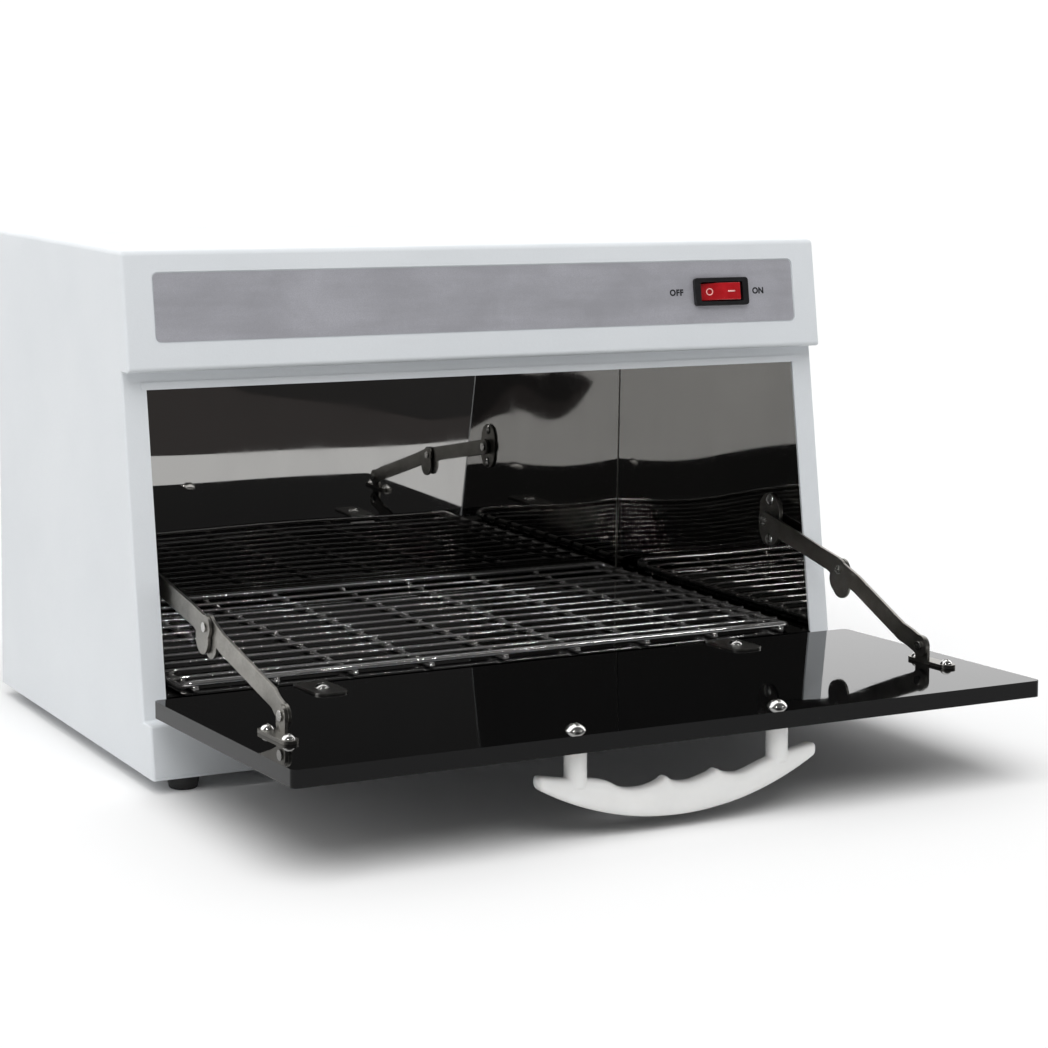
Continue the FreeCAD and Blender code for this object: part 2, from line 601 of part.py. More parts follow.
def arm(profile, start, end, r_start, lobe_at, web_from, x_elbow):
    """A flat arm from a pivot to the elbow, bent sideways, with a stop lobe hanging by the elbow.

    profile lists (distance from the start pivot, sideways shift) pairs; the sheet follows them.
    """
    along = Vector(0, end[0] - start[0], end[1] - start[1])
    length = along.Length
    along.normalize()
    ny, nz = -along.z * ARM_W / 2.0, along.y * ARM_W / 2.0
    x0, x1 = 155.0, OPEN_HALF
    bar = prism_x([(start[0] + ny, start[1] + nz), (end[0] + ny, end[1] + nz),
                   (end[0] - ny, end[1] - nz), (start[0] - ny, start[1] - nz)], x0, x1)
    rounds = [(start, r_start), (end, ARM_W / 2.0 + 0.7), (lobe_at, LOBE_R)]
    web = prism_x([end, web_from, (lobe_at[0] + LOBE_R * 0.94, lobe_at[1] + LOBE_R * 0.3), lobe_at], x0, x1)
    outline = fused(bar, web, *[rod(Vector(x0, *place), X_DIR, r, x1 - x0) for place, r in rounds])
    reach, thick = 40.0, x_elbow[1] - x_elbow[0]
    line = [(-reach, profile[0][1])] + profile + [(length + reach, profile[-1][1])]
    side = [Vector(d, x, 0) for d, x in line] + [Vector(d, x + thick, 0) for d, x in reversed(line)]
    sheet = Part.Face(Part.makePolygon(side + side[:1])).extrude(Vector(0, 0, 2 * reach))
    sheet.translate(Vector(0, 0, -reach))
    return outline.common(placed(sheet, Vector(x_elbow[0], *start), along, X_DIR))


def drilled(shape, *holes):
    """Cut (place, radius) holes along X through an arm."""
    for place, radius in holes:
        shape = shape.cut(rod(Vector(150.0, *place), X_DIR, radius, 40.0))
    return shape.removeSplitter()


def upper_arm():
    """The upper arm splays outwards from the elbow to the wall plate."""
    lobe = (STAY_ELBOW[0] + 3.4, STAY_ELBOW[1] - 5.6)
    under = (STAY_ELBOW[0] + 16.0, STAY_ELBOW[1] - 1.0)
    profile = [(7.0, UPPER_SPLAY), (58.0, 0.0)]
    shape = arm(profile, STAY_PIVOT, STAY_ELBOW, ARM_W / 2.0 + 0.2, lobe, under, UPPER_X)
    return drilled(shape, (STAY_PIVOT, RIVET_R + RUN_GAP), (STAY_ELBOW, RIVET_R))


def lower_arm():
    """The lower arm splays inwards from the elbow, then steps back a little above its foot."""
    foot = door_yz(*STAY_FOOT)
    lobe = (STAY_ELBOW[0] - 1.6, STAY_ELBOW[1] - 7.0)
    under = (STAY_ELBOW[0] + 4.0, STAY_ELBOW[1])
    profile = [(8.0, LOWER_SPLAY + JOGGLE), (14.0, LOWER_SPLAY), (60.0, 0.0)]
    shape = arm(profile, foot, STAY_ELBOW, 5.2, lobe, under, LOWER_X)
    return drilled(shape, (foot, RIVET_R + RUN_GAP), (STAY_ELBOW, RIVET_R))


def elbow_rivet_outer():
    """The half of the elbow rivet that the upper arm carries."""
    radius, height = RIVET_HEAD
    shaft = rod(Vector(UPPER_X[0], *STAY_ELBOW), X_DIR, RIVET_R, UPPER_X[1] - UPPER_X[0])
    return fused(shaft, rod(Vector(UPPER_X[1], *STAY_ELBOW), X_DIR, radius, height))


def elbow_rivet_inner():
    """The half of the elbow rivet that the lower arm carries."""
    radius, height = RIVET_HEAD
    shaft = rod(Vector(LOWER_X[0], *STAY_ELBOW), X_DIR, RIVET_R, LOWER_X[1] - LOWER_X[0])
    return fused(shaft, rod(Vector(LOWER_X[0] - height, *STAY_ELBOW), X_DIR, radius, height))


def stay_bracket():
    """L bracket on the door: a long foot strip and a round-topped tab at its inner edge."""
    width = FOOT_STRIP[1] - FOOT_STRIP[0]
    middle = (FOOT_STRIP[0] + FOOT_STRIP[1]) / 2.0
    strip = rounded_plate(width, BRACKET_LEN, width / 2.0 - 0.1, 0, BRACKET_T)
    strip = on_door(strip, middle, STAY_FOOT[0] + BRACKET_SHIFT)
    foot = door_yz(*STAY_FOOT)
    half = ARM_W / 2.0
    tab = prism_x([door_yz(STAY_FOOT[0] - half, DOOR_H1), door_yz(STAY_FOOT[0] + half, DOOR_H1),
                   door_yz(STAY_FOOT[0] + half, STAY_FOOT[1]), door_yz(STAY_FOOT[0] - half, STAY_FOOT[1])],
                  FOOT_STRIP[0], FOOT_STRIP[0] + TAB_T)
    crown = rod(Vector(FOOT_STRIP[0], *foot), X_DIR, half, TAB_T)
    bracket = fused(strip, tab, crown)
    bracket = bracket.cut(rod(Vector(FOOT_STRIP[0] - 1, *foot), X_DIR, RIVET_R, TAB_T + 2))
    for x, l in bracket_screw_places():
        if x > 0:
            bracket = bracket.cut(on_door(rod(Vector(0, 0, -1), Z_DIR, SCREW_HOLE_R, 4), x, l))
    return bracket


def stay_bracket_rivet():
    foot = door_yz(*STAY_FOOT)
    radius, height = RIVET_HEAD
    x0 = LOWER_X[0] + LOWER_SPLAY + JOGGLE - height - 0.1
    shaft = rod(Vector(x0 + 0.5, *foot), X_DIR, RIVET_R, FOOT_STRIP[0] + TAB_T - x0 - 0.5)
    tail = rod(Vector(FOOT_STRIP[0] + TAB_T, *foot), X_DIR, 2.4, 0.8)
    return fused(shaft, rod(Vector(x0, *foot), X_DIR, radius, height), tail)


# ---------------------------------------------------------------- wire rack
def rack():
    """Cross wires on the floor, carrying the long wires and the outer frame rod."""
    z_cross = OPEN_Z0 + RACK_CROSS_R + 0.05
    z_wire = z_cross + RACK_CROSS_R + RACK_WIRE_R + 0.01
    z_frame = z_cross + RACK_CROSS_R + RACK_FRAME_R + 0.01
    y0, y1 = RACK_Y
    corners = [Vector(0, y0, z_frame), Vector(-RACK_HALF, y0, z_frame), Vector(-RACK_HALF, y1, z_frame),
               Vector(RACK_HALF, y1, z_frame), Vector(RACK_HALF, y0, z_frame), Vector(0, y0, z_frame)]
    halves = [swept_wire(corners[:3] + [Vector(0, y1, z_frame)], RACK_FRAME_R, RACK_CORNER),
              swept_wire([Vector(0, y1, z_frame)] + corners[3:], RACK_FRAME_R, RACK_CORNER)]
    solids = [fused(*halves)]
    pitch = (y1 - y0) / (RACK_WIRES + 1)
    reach = RACK_HALF - RACK_FRAME_R
    for i in range(1, RACK_WIRES + 1):
        solids.append(rod(Vector(-reach, y0 + i * pitch, z_wire), X_DIR, RACK_WIRE_R, 2 * reach))
    step = 2 * (RACK_HALF - 7.0) / (RACK_CROSSES - 1)
    for i in range(RACK_CROSSES):
        x = -RACK_HALF + 7.0 + i * step
        solids.append(rod(Vector(x, y0 - 1.4, z_cross), Y_DIR, RACK_CROSS_R, y1 - y0 + 2.8))
    return solids


# ---------------------------------------------------------------- feet and casing screws
def foot(x, y):
    body = Part.makeCone(6.3, 7.8, FOOT_H, Vector(x, y, 0), Z_DIR)
    body = body.cut(rod(Vector(x, y, -1), Z_DIR, 3.6, 3.6))
    return body.cut(rod(Vector(x, y, 0), Z_DIR, 1.6, FOOT_H + 1))


def foot_screw(x, y):
    screw = dome_screw(6.4, 1.8, 3.0, 8.0)
    return placed(screw, Vector(x, y, 2.6), X_DIR, Vector(0, -1, 0))


def back_screw(x, z):
    return placed(dome_screw(6.5, 2.0, 3.0, 6.0), Vector(x, BACK_Y, z), Vector(-1, 0, 0), Z_DIR)


# ---------------------------------------------------------------- build every node
def build():
    os.makedirs("parts", exist_ok=True)
    for name, side in SIDES.items():
        save("side_panel_" + name, mirrored(side_panel(), side))
        save("liner_" + name, mirrored(liner_side(), side))
        save("frame_jamb_" + name, mirrored(frame_strip(OPEN_HALF, HALF - SHEET, FRAME_S0, FRAME_S1), side))
        save("stay_upper_arm_" + name, mirrored(upper_arm(), side))
        save("stay_lower_arm_" + name, mirrored(lower_arm(), side))
        save("elbow_rivet_outer_" + name, mirrored(elbow_rivet_outer(), side))
        save("elbow_rivet_inner_" + name, mirrored(elbow_rivet_inner(), side))
    save("top_panel", top_panel())
    save("header_panel", header_panel())
    save("control_label", control_label())
    save("base_fascia", base_fascia())
    save("bottom_pan", bottom_pan())
    save("back_panel", back_panel())
    sill_s = frame_slope_of(OPEN_Z0 - LINER)
    save("frame_sill", frame_strip(-OPEN_HALF, OPEN_HALF, FRAME_S0, sill_s))
    save("frame_head", frame_strip(-OPEN_HALF, OPEN_HALF, frame_slope_of(OPEN_Z1), FRAME_S1))
    save("liner_back", liner_back())
    save("liner_floor", liner_slab(OPEN_Z0 - LINER, OPEN_Z0, RECESS))
    save("liner_ceiling", liner_slab(CEILING_Z, CEILING_Z + LINER))

    save("lamp_tube", rod(Vector(-LAMP_HALF, LAMP_Y, LAMP_Z), X_DIR, LAMP_R, 2 * LAMP_HALF))
    save("lamp_caps", *lamp_caps())
    save("lamp_holders", *both_sides(lamp_holder()))
    save("lamp_reflector", lamp_reflector())
    save("ballast", ballast())
    save("starter", starter())
    save("starter_socket", starter_socket())
    save("terminal_block", terminal_block())
    save("lead_wires", *lead_wires())
    save("cord_gland", cord_gland())
    save("switch_housing", switch_housing())
    save("switch_rocker", rocker())

    hinge_xs = (-HINGE_X, HINGE_X)
    save("hinge_base_leaves", *[hinge_base_leaf(x) for x in hinge_xs])
    save("hinge_pins", *[hinge_pin(x) for x in hinge_xs])
    base_screw = dome_screw(5.2, 1.4, 2.8, 5.0)
    base_screw.translate(Vector(0, 0, LEAF_T))
    save("hinge_base_screws", *[on_front(base_screw, x, s) for x, s in hinge_base_screw_places()])
    save("hinge_door_leaves", *[hinge_door_leaf(x) for x in hinge_xs])
    leaf_screw = dome_screw(7.0, 2.0, 2.8, 5.8)
    save("hinge_door_screws", *[on_door(leaf_screw, x, DOOR_GAP + LEAF_SCREW, DOOR_H1 + LEAF_T) for x in hinge_xs])

    save("door_panel", door_panel())
    save("door_handle", handle())
    handle_screw = dome_screw(9.0, 3.0, 3.6, DOOR_T + 9.0)
    save("handle_screws", *[on_door(handle_screw, HANDLE_X + dx, HANDLE_L) for dx in (-POST_X, POST_X)])

    save("stay_wall_plates", *both_sides(stay_wall_plate()))
    save("stay_wall_rivets", *both_sides(stay_wall_rivet()))
    wall_screw = placed(dome_screw(6.5, 1.4, 2.9, 6.0), Vector(OPEN_HALF - PLATE_T, STAY_PLATE[0], 0),
                        Vector(0, -1, 0), Z_DIR)
    raised = [wall_screw.translated(Vector(0, 0, z)) for z in STAY_SCREW_Z]
    save("stay_wall_screws", *[mirrored(s, side) for s in raised for side in SIDES.values()])
    save("stay_brackets", *both_sides(stay_bracket()))
    save("stay_bracket_rivets", *both_sides(stay_bracket_rivet()))
    strip_screw = dome_screw(5.8, 2.2, 2.8, 6.0)
    save("stay_bracket_screws", *[on_door(strip_screw, x, l, DOOR_H1 + BRACKET_T) for x, l in bracket_screw_places()])

    save("wire_rack", *rack())
    save("feet", *[foot(x, y) for x, y in foot_places()])
    save("foot_screws", *[foot_screw(x, y) for x, y in foot_places()])
    save("back_screws", *[back_screw(x, z) for x, z in back_screw_places()])


build()
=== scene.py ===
import json
import math
import random

import bmesh
import bpy
from mathutils import Matrix, Vector

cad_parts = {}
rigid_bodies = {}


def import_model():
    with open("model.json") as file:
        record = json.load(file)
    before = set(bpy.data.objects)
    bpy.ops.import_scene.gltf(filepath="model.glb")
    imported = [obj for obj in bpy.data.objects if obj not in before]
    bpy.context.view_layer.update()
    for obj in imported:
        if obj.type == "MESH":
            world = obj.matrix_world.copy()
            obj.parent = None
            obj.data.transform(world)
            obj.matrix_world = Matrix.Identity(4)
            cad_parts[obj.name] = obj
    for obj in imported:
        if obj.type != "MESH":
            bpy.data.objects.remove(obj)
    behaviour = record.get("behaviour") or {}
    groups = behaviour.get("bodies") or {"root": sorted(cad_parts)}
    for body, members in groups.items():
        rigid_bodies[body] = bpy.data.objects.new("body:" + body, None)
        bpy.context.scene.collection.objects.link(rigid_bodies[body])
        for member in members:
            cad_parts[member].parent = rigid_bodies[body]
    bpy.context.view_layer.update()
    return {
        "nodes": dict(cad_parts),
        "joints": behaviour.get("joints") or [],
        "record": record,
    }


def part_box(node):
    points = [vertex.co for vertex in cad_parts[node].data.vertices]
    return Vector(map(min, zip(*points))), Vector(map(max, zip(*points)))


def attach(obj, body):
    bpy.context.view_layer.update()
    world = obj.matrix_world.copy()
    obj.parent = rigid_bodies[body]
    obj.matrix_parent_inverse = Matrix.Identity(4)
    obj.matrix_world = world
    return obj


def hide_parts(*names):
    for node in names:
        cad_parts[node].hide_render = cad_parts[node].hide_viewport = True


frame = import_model()

# Looks of the bench-top sterilizer cabinet.  Everything is in metres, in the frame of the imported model:
# +Z up, front and open door towards -Y, +X to the right.
MM = 0.001
RNG = random.Random(7)
RIGHT = Vector((1, 0, 0))


# ---------------------------------------------------------------- places read from the frame
def joint_place(name):
    """A point on a joint's axis, at rest."""
    return Vector(next(joint["pos_m"] for joint in frame["joints"] if joint["name"] == name))


SIDE_LO, SIDE_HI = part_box("side_panel_left")
TOP_LO, TOP_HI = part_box("top_panel")
LABEL_LO, LABEL_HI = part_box("control_label")
SWITCH_LO, SWITCH_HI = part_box("switch_housing")
HEADER_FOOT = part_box("header_panel")[0].z
BASE_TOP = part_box("base_fascia")[1].z
OPENING_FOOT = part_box("frame_sill")[1].z
OPENING_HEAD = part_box("frame_head")[0].z
HALF_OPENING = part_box("frame_sill")[1].x
HALF_WIDTH = TOP_HI.x
LABEL_MIDDLE = (LABEL_LO + LABEL_HI) / 2
SWITCH_X = (SWITCH_LO.x + SWITCH_HI.x) / 2

RECESS = 8.8 * MM             # door frame behind the header and base faces
SHEET = 1.2 * MM              # thickness of the casing's steel
LEAN = math.atan2(TOP_LO.y - SIDE_LO.y, TOP_HI.z - SIDE_LO.z)
UP_FRONT = Vector((0, math.sin(LEAN), math.cos(LEAN)))
OUT_FRONT = Vector((0, -math.cos(LEAN), math.sin(LEAN)))

HINGE = joint_place("door_hinge")
DOOR_TILT = math.radians(1.78)        # the open door rises this much towards its free edge
ALONG_DOOR = Vector((0, -math.cos(DOOR_TILT), math.sin(DOOR_TILT)))
OFF_DOOR = Vector((0, math.sin(DOOR_TILT), math.cos(DOOR_TILT)))


def front_at(z, behind=0.0):
    """Point of the sloping front face at height z, a distance behind it, at x 0."""
    return Vector((0, SIDE_LO.y + (z - SIDE_LO.z) * math.tan(LEAN) + behind / math.cos(LEAN), z))


def basis(origin, x_axis, y_axis):
    """Matrix that carries local axes to the given origin, X axis and Y axis."""
    z_axis = x_axis.cross(y_axis)
    turned = Matrix((x_axis, y_axis, z_axis)).transposed().to_4x4()
    return Matrix.Translation(origin) @ turned


# ---------------------------------------------------------------- camera
CAMERA_PLACE = (-0.5858, -1.0957, 0.3111)
YAW, PITCH, ROLL = (math.radians(a) for a in (28.76, -7.41, 0.84))
SENSOR_WIDTH, FOCAL_LENGTH = 36.0, 90.32      # millimetres
SHIFT_UP = -0.0897                            # share of the picture's width


def make_camera():
    """Camera at the front left, turned right by the yaw, down by the pitch and a little by the roll."""
    forward = Vector((math.sin(YAW) * math.cos(PITCH), math.cos(YAW) * math.cos(PITCH), math.sin(PITCH)))
    level = Vector((math.cos(YAW), -math.sin(YAW), 0))
    rise = level.cross(forward)
    right = math.cos(ROLL) * level + math.sin(ROLL) * rise
    up = math.cos(ROLL) * rise - math.sin(ROLL) * level
    data = bpy.data.cameras.new("camera")
    data.sensor_width = SENSOR_WIDTH
    data.lens = FOCAL_LENGTH
    data.shift_y = SHIFT_UP
    camera = bpy.data.objects.new("camera", data)
    turned = Matrix((right, up, -forward)).transposed().to_4x4()
    camera.matrix_world = Matrix.Translation(CAMERA_PLACE) @ turned
    bpy.context.scene.collection.objects.link(camera)
    bpy.context.scene.camera = camera


make_camera()


# ---------------------------------------------------------------- material toolkit
# Blender gives the Mix node's sockets by number only.
MIX_FACTOR = 0
MIX_NUMBERS, MIX_NUMBER_OUT = (2, 3), 0
MIX_COLOURS, MIX_COLOUR_OUT = (6, 7), 2
WAVE_RATE = 20.0      # a wave texture of scale 1 runs through this many radians in one metre


def scaled(colour, share):
    """A colour with each channel multiplied by the share."""
    return tuple(c * share for c in colour)


class Surface:
    """A principled material whose colour, roughness and relief come from procedural nodes."""

    def __init__(self, name, **sockets):
        self.material = bpy.data.materials.new(name)
        self.material.use_nodes = True
        self.tree = self.material.node_tree
        self.shader = self.tree.nodes["Principled BSDF"]
        self.place = self.tree.nodes.new("ShaderNodeTexCoord").outputs["Object"]
        self.last_bump = None
        for key, value in sockets.items():
            self.shader.inputs[key.replace("_", " ")].default_value = value

    def add(self, kind, **inputs):
        """New node; the name of each input has _ for a space."""
        node = self.tree.nodes.new(kind)
        for key, value in inputs.items():
            self.feed(node.inputs[key.replace("_", " ")], value)
        return node

    def feed(self, socket, value):
        """Links a socket to a node's output, or sets it to a number."""
        if isinstance(value, bpy.types.NodeSocket):
            self.tree.links.new(value, socket)
        else:
            socket.default_value = value

    def stretched(self, stretch):
        """The place in metres, with each axis multiplied by its own number."""
        if stretch == (1, 1, 1):
            return self.place
        return self.add("ShaderNodeMapping", Vector=self.place, Scale=stretch).outputs["Vector"]

    def noise(self, size, detail=3.0, rough=0.5, stretch=(1, 1, 1), warp=0.0):
        """Cloudy values from 0 to 1 whose features are about size metres across."""
        node = self.add("ShaderNodeTexNoise", Vector=self.stretched(stretch), Scale=1.0 / size, Detail=detail,
                        Roughness=rough, Distortion=warp)
        return node.outputs["Fac"]

    def height(self):
        """Metres above the floor."""
        return self.add("ShaderNodeSeparateXYZ", Vector=self.place).outputs["Z"]

    def cells(self, size):
        """Distance to the nearest of some points scattered about size metres apart."""
        return self.add("ShaderNodeTexVoronoi", Vector=self.place, Scale=1.0 / size).outputs["Distance"]

    def stripes(self, size, warp):
        """Bands across X, each size metres wide."""
        rate = 1.0 / size / WAVE_RATE * math.pi
        return self.add("ShaderNodeTexWave", Vector=self.place, Scale=rate, Distortion=warp).outputs["Fac"]

    def remap(self, value, low, high, to_low=0.0, to_high=1.0):
        """Carries the range from low to high to another range, and clamps what lies beyond it."""
        node = self.add("ShaderNodeMapRange", Value=value)
        for key, number in (("From Min", low), ("From Max", high), ("To Min", to_low), ("To Max", to_high)):
            node.inputs[key].default_value = number
        return node.outputs["Result"]

    def combine(self, operation, first, second):
        node = self.tree.nodes.new("ShaderNodeMath")
        node.operation = operation
        self.feed(node.inputs[0], first)
        self.feed(node.inputs[1], second)
        return node.outputs[0]

    def plus(self, first, second):
        return self.combine("ADD", first, second)

    def times(self, first, second):
        return self.combine("MULTIPLY", first, second)

    def blend(self, factor, *colours):
        """The first colour where the factor is 0, and the second where it is 1."""
        node = self.tree.nodes.new("ShaderNodeMix")
        node.data_type = "RGBA"
        self.feed(node.inputs[MIX_FACTOR], factor)
        for socket, value in zip(MIX_COLOURS, colours):
            given = value if isinstance(value, bpy.types.NodeSocket) else (*value, 1.0)
            self.feed(node.inputs[socket], given)
        return node.outputs[MIX_COLOUR_OUT]

    def colour(self, value):
        self.feed(self.shader.inputs["Base Color"], value)

    def roughness(self, value):
        self.feed(self.shader.inputs["Roughness"], value)

    def relief(self, height, depth):
        """Adds bump of the given depth in metres on top of the relief so far."""
        node = self.add("ShaderNodeBump", Height=height, Distance=depth)
        if self.last_bump:
            self.tree.links.new(self.last_bump, node.inputs["Normal"])
        self.last_bump = node.outputs["Normal"]
        self.feed(self.shader.inputs["Normal"], self.last_bump)


# ---------------------------------------------------------------- materials, one function each
def painted_shell():
    s = Surface("painted_shell", Coat_Weight=0.12, Coat_Roughness=0.22)
    cloud = s.remap(s.noise(0.11, 2.0), 0.35, 0.65)
    grain = s.remap(s.noise(0.0006, 2.0), 0.3, 0.7)
    broad = s.blend(cloud, (0.655, 0.682, 0.706), (0.690, 0.716, 0.738))
    s.colour(s.blend(s.times(grain, 0.25), broad, (0.60, 0.63, 0.66)))
    s.roughness(s.remap(s.noise(0.03, 4.0), 0.3, 0.7, 0.33, 0.46))
    s.relief(s.noise(0.0022, 3.0), 0.00003)
    s.relief(s.noise(0.12, 1.0), 0.0005)
    return s.material


def label_film():
    s = Surface("label_film", Metallic=0.55)
    cloud = s.noise(0.035, 4.0, 0.6, (1.0, 1.6, 1.6), 0.4)
    streak = s.noise(0.012, 3.0, 0.5, (0.35, 3.0, 3.0))
    tone = s.plus(s.times(cloud, 0.7), s.times(streak, 0.3))
    base = s.blend(s.remap(tone, 0.36, 0.64), (0.55, 0.55, 0.595), (0.67, 0.67, 0.725))
    speck = s.remap(s.noise(0.0005, 2.0), 0.35, 0.65, 0.0, 0.35)
    s.colour(s.blend(speck, base, (0.46, 0.46, 0.50)))
    s.roughness(s.remap(cloud, 0.3, 0.7, 0.40, 0.52))
    s.relief(s.noise(0.0006, 2.0), 0.000012)
    return s.material


def mirror_sheet(name, tint, wave, lean=0.0):
    """Polished sheet with faint rolling lines and wipe marks; it bows by wave and tilts by lean."""
    s = Surface(name, Metallic=1.0)
    wipe = s.remap(s.noise(0.05, 5.0, 0.62, (1.0, 1.0, 0.5), 0.8), 0.45, 0.75)
    grain = s.remap(s.noise(0.0012, 2.0, 0.5, (1.0, 1.0, 0.03)), 0.35, 0.65)
    dull = scaled(tint, 0.86)
    s.colour(s.blend(s.times(wipe, 0.5), tint, dull))
    haze = s.times(wipe, 0.03)
    s.roughness(s.plus(s.plus(haze, s.times(grain, 0.008)), 0.006))
    s.relief(s.noise(0.17, 0.0), wave)
    s.relief(s.height(), lean)
    return s.material


def polished_liner():
    return mirror_sheet("polished_liner", (0.385, 0.38, 0.37), 0.0012)


def bowed_liner():
    return mirror_sheet("bowed_liner", (0.385, 0.38, 0.37), 0.0045, 0.005)


# Painted shade: the floor liner is the liners' polished steel with its tint dropped to 0.10, so the floor
# under the rack shows dark.
def floor_liner():
    return mirror_sheet("floor_liner", (0.10, 0.10, 0.10), 0.0012)


def reflector_sheet():
    return mirror_sheet("reflector_sheet", (0.80, 0.80, 0.80), 0.0004)


def smoked_acrylic():
    s = Surface("smoked_acrylic", IOR=1.30, Specular_IOR_Level=0.4)
    smear = s.remap(s.noise(0.06, 5.0, 0.65, (1.0, 0.7, 1.0), 1.2), 0.48, 0.75)
    dust = s.remap(s.cells(0.009), 0.0, 0.035, 1.0, 0.0)
    s.colour(s.blend(s.times(dust, 0.5), (0.0016, 0.0016, 0.0018), (0.05, 0.05, 0.05)))
    haze = s.plus(s.times(smear, 0.05), s.times(dust, 0.25))
    s.roughness(s.plus(haze, 0.022))
    s.relief(s.noise(0.09, 1.0), 0.00012)
    scratch = s.remap(s.noise(0.0011, 2.0, 0.5, (0.04, 1.0, 1.0)), 0.62, 0.72)
    s.relief(scratch, 0.0000015)
    return s.material


def handle_plastic():
    s = Surface("handle_plastic", Subsurface_Weight=0.15, Subsurface_Scale=0.004)
    s.shader.inputs["Subsurface Radius"].default_value = (1.0, 0.9, 0.8)
    cloud = s.remap(s.noise(0.02, 3.0), 0.3, 0.7)
    s.colour(s.blend(cloud, (0.70, 0.70, 0.69), (0.76, 0.76, 0.75)))
    s.roughness(s.remap(s.noise(0.008, 4.0), 0.3, 0.7, 0.28, 0.42))
    s.relief(s.noise(0.0008, 2.0), 0.00002)
    return s.material


def dark_steel(name, low, high, rough):
    """Plated pressed steel with a fine rolled grain and rubbed, brighter patches."""
    s = Surface(name, Metallic=1.0)
    grain = s.noise(0.0007, 4.0, 0.65, (0.25, 1.0, 1.0))
    patch = s.noise(0.009, 4.0, 0.6)
    tone = s.plus(s.times(grain, 0.5), s.times(patch, 0.5))
    s.colour(s.blend(s.remap(tone, 0.36, 0.66), low, high))
    s.roughness(s.remap(tone, 0.3, 0.7, rough - 0.07, rough + 0.08))
    s.relief(grain, 0.000012)
    return s.material


def stay_steel():
    return dark_steel("stay_steel", (0.20, 0.193, 0.178), (0.33, 0.32, 0.295), 0.38)


def hinge_steel():
    return dark_steel("hinge_steel", (0.26, 0.255, 0.24), (0.42, 0.41, 0.39), 0.32)


def rivet_steel():
    return dark_steel("rivet_steel", (0.50, 0.49, 0.47), (0.68, 0.67, 0.65), 0.24)


def bright_metal(name, tint, rough, metallic=1.0):
    """Plated or polished metal with faint handling marks."""
    s = Surface(name, Metallic=metallic)
    mark = s.remap(s.noise(0.0025, 4.0, 0.6), 0.35, 0.7)
    s.colour(s.blend(mark, tint, scaled(tint, 0.82)))
    s.roughness(s.remap(mark, 0.0, 1.0, rough, rough + 0.08))
    s.relief(s.noise(0.004, 2.0), 0.000012)
    return s.material


def bright_screws():
    return bright_metal("bright_screws", (0.82, 0.81, 0.79), 0.14)


def rack_wire():
    return bright_metal("rack_wire", (0.76, 0.75, 0.74), 0.05, 0.94)


def lamp_metal():
    return bright_metal("lamp_metal", (0.74, 0.75, 0.76), 0.3)


def plastic(name, low, high, rough, coat=0.0):
    """Moulded plastic, rubber or ink, cloudy between two colours, with a fine matt grain."""
    s = Surface(name, Coat_Weight=coat, Coat_Roughness=0.12)
    cloud = s.remap(s.noise(0.007, 3.0), 0.3, 0.7)
    s.colour(s.blend(cloud, low, high))
    s.roughness(s.remap(s.noise(0.0035, 4.0), 0.3, 0.7, rough - 0.06, rough + 0.08))
    s.relief(s.noise(0.0005, 2.0), 0.00002)
    return s.material


def foot_rubber():
    return plastic("foot_rubber", (0.012, 0.012, 0.012), (0.028, 0.027, 0.026), 0.68)


def holder_plastic():
    return plastic("holder_plastic", (0.70, 0.70, 0.66), (0.78, 0.78, 0.75), 0.40)


def black_plastic():
    return plastic("black_plastic", (0.008, 0.008, 0.009), (0.014, 0.014, 0.016), 0.40)


def rocker_red():
    return plastic("rocker_red", (0.31, 0.003, 0.006), (0.44, 0.006, 0.012), 0.20, 0.6)


def wire_sleeve():
    return plastic("wire_sleeve", (0.03, 0.03, 0.032), (0.05, 0.05, 0.052), 0.46)


def ink():
    return plastic("ink", (0.012, 0.013, 0.016), (0.022, 0.023, 0.027), 0.5)


def rocker_mark():
    return plastic("rocker_mark", (0.86, 0.42, 0.40), (0.93, 0.52, 0.50), 0.4)


def lamp_glass():
    s = Surface("lamp_glass", Transmission_Weight=1.0, IOR=1.46)
    cloud = s.remap(s.noise(0.01, 3.0), 0.3, 0.7)
    s.colour(s.blend(cloud, (0.90, 0.94, 0.96), (0.97, 0.98, 0.99)))
    s.roughness(s.remap(s.noise(0.006, 4.0), 0.3, 0.7, 0.01, 0.05))
    return s.material


def ballast_steel():
    s = Surface("ballast_steel", Metallic=0.4)
    sheets = s.stripes(0.0005, 0.2)
    s.colour(s.blend(s.noise(0.01, 4.0), (0.06, 0.065, 0.075), (0.14, 0.145, 0.155)))
    s.roughness(s.remap(s.noise(0.004, 4.0), 0.3, 0.7, 0.35, 0.5))
    s.relief(sheets, 0.00008)
    return s.material


FINISHES = {make.__name__: make() for make in (
    painted_shell, label_film, polished_liner, bowed_liner, floor_liner, reflector_sheet, smoked_acrylic,
    handle_plastic, stay_steel, hinge_steel, rivet_steel, bright_screws, rack_wire, lamp_metal, foot_rubber,
    holder_plastic, black_plastic, rocker_red, wire_sleeve, ink, rocker_mark, lamp_glass, ballast_steel)}

# Each node has the finish that its slot is named after, apart from the side liners, which bow, and the floor
# liner, whose darker copy of the polished steel is painted shade.
FINISH_OF = {part["node"]: part["material_slot"] for part in frame["record"]["subparts"]}
FINISH_OF |= {"liner_left": "bowed_liner", "liner_right": "bowed_liner", "liner_floor": "floor_liner"}


# ---------------------------------------------------------------- CAD nodes: finishes and soft edges
ONE_POINT = 0.002 * MM                # corners nearer than this are one
FLAT = math.radians(0.4)              # faces that turn less than this are one
SHARP = math.radians(30.0)            # edges that turn more than this are rounded

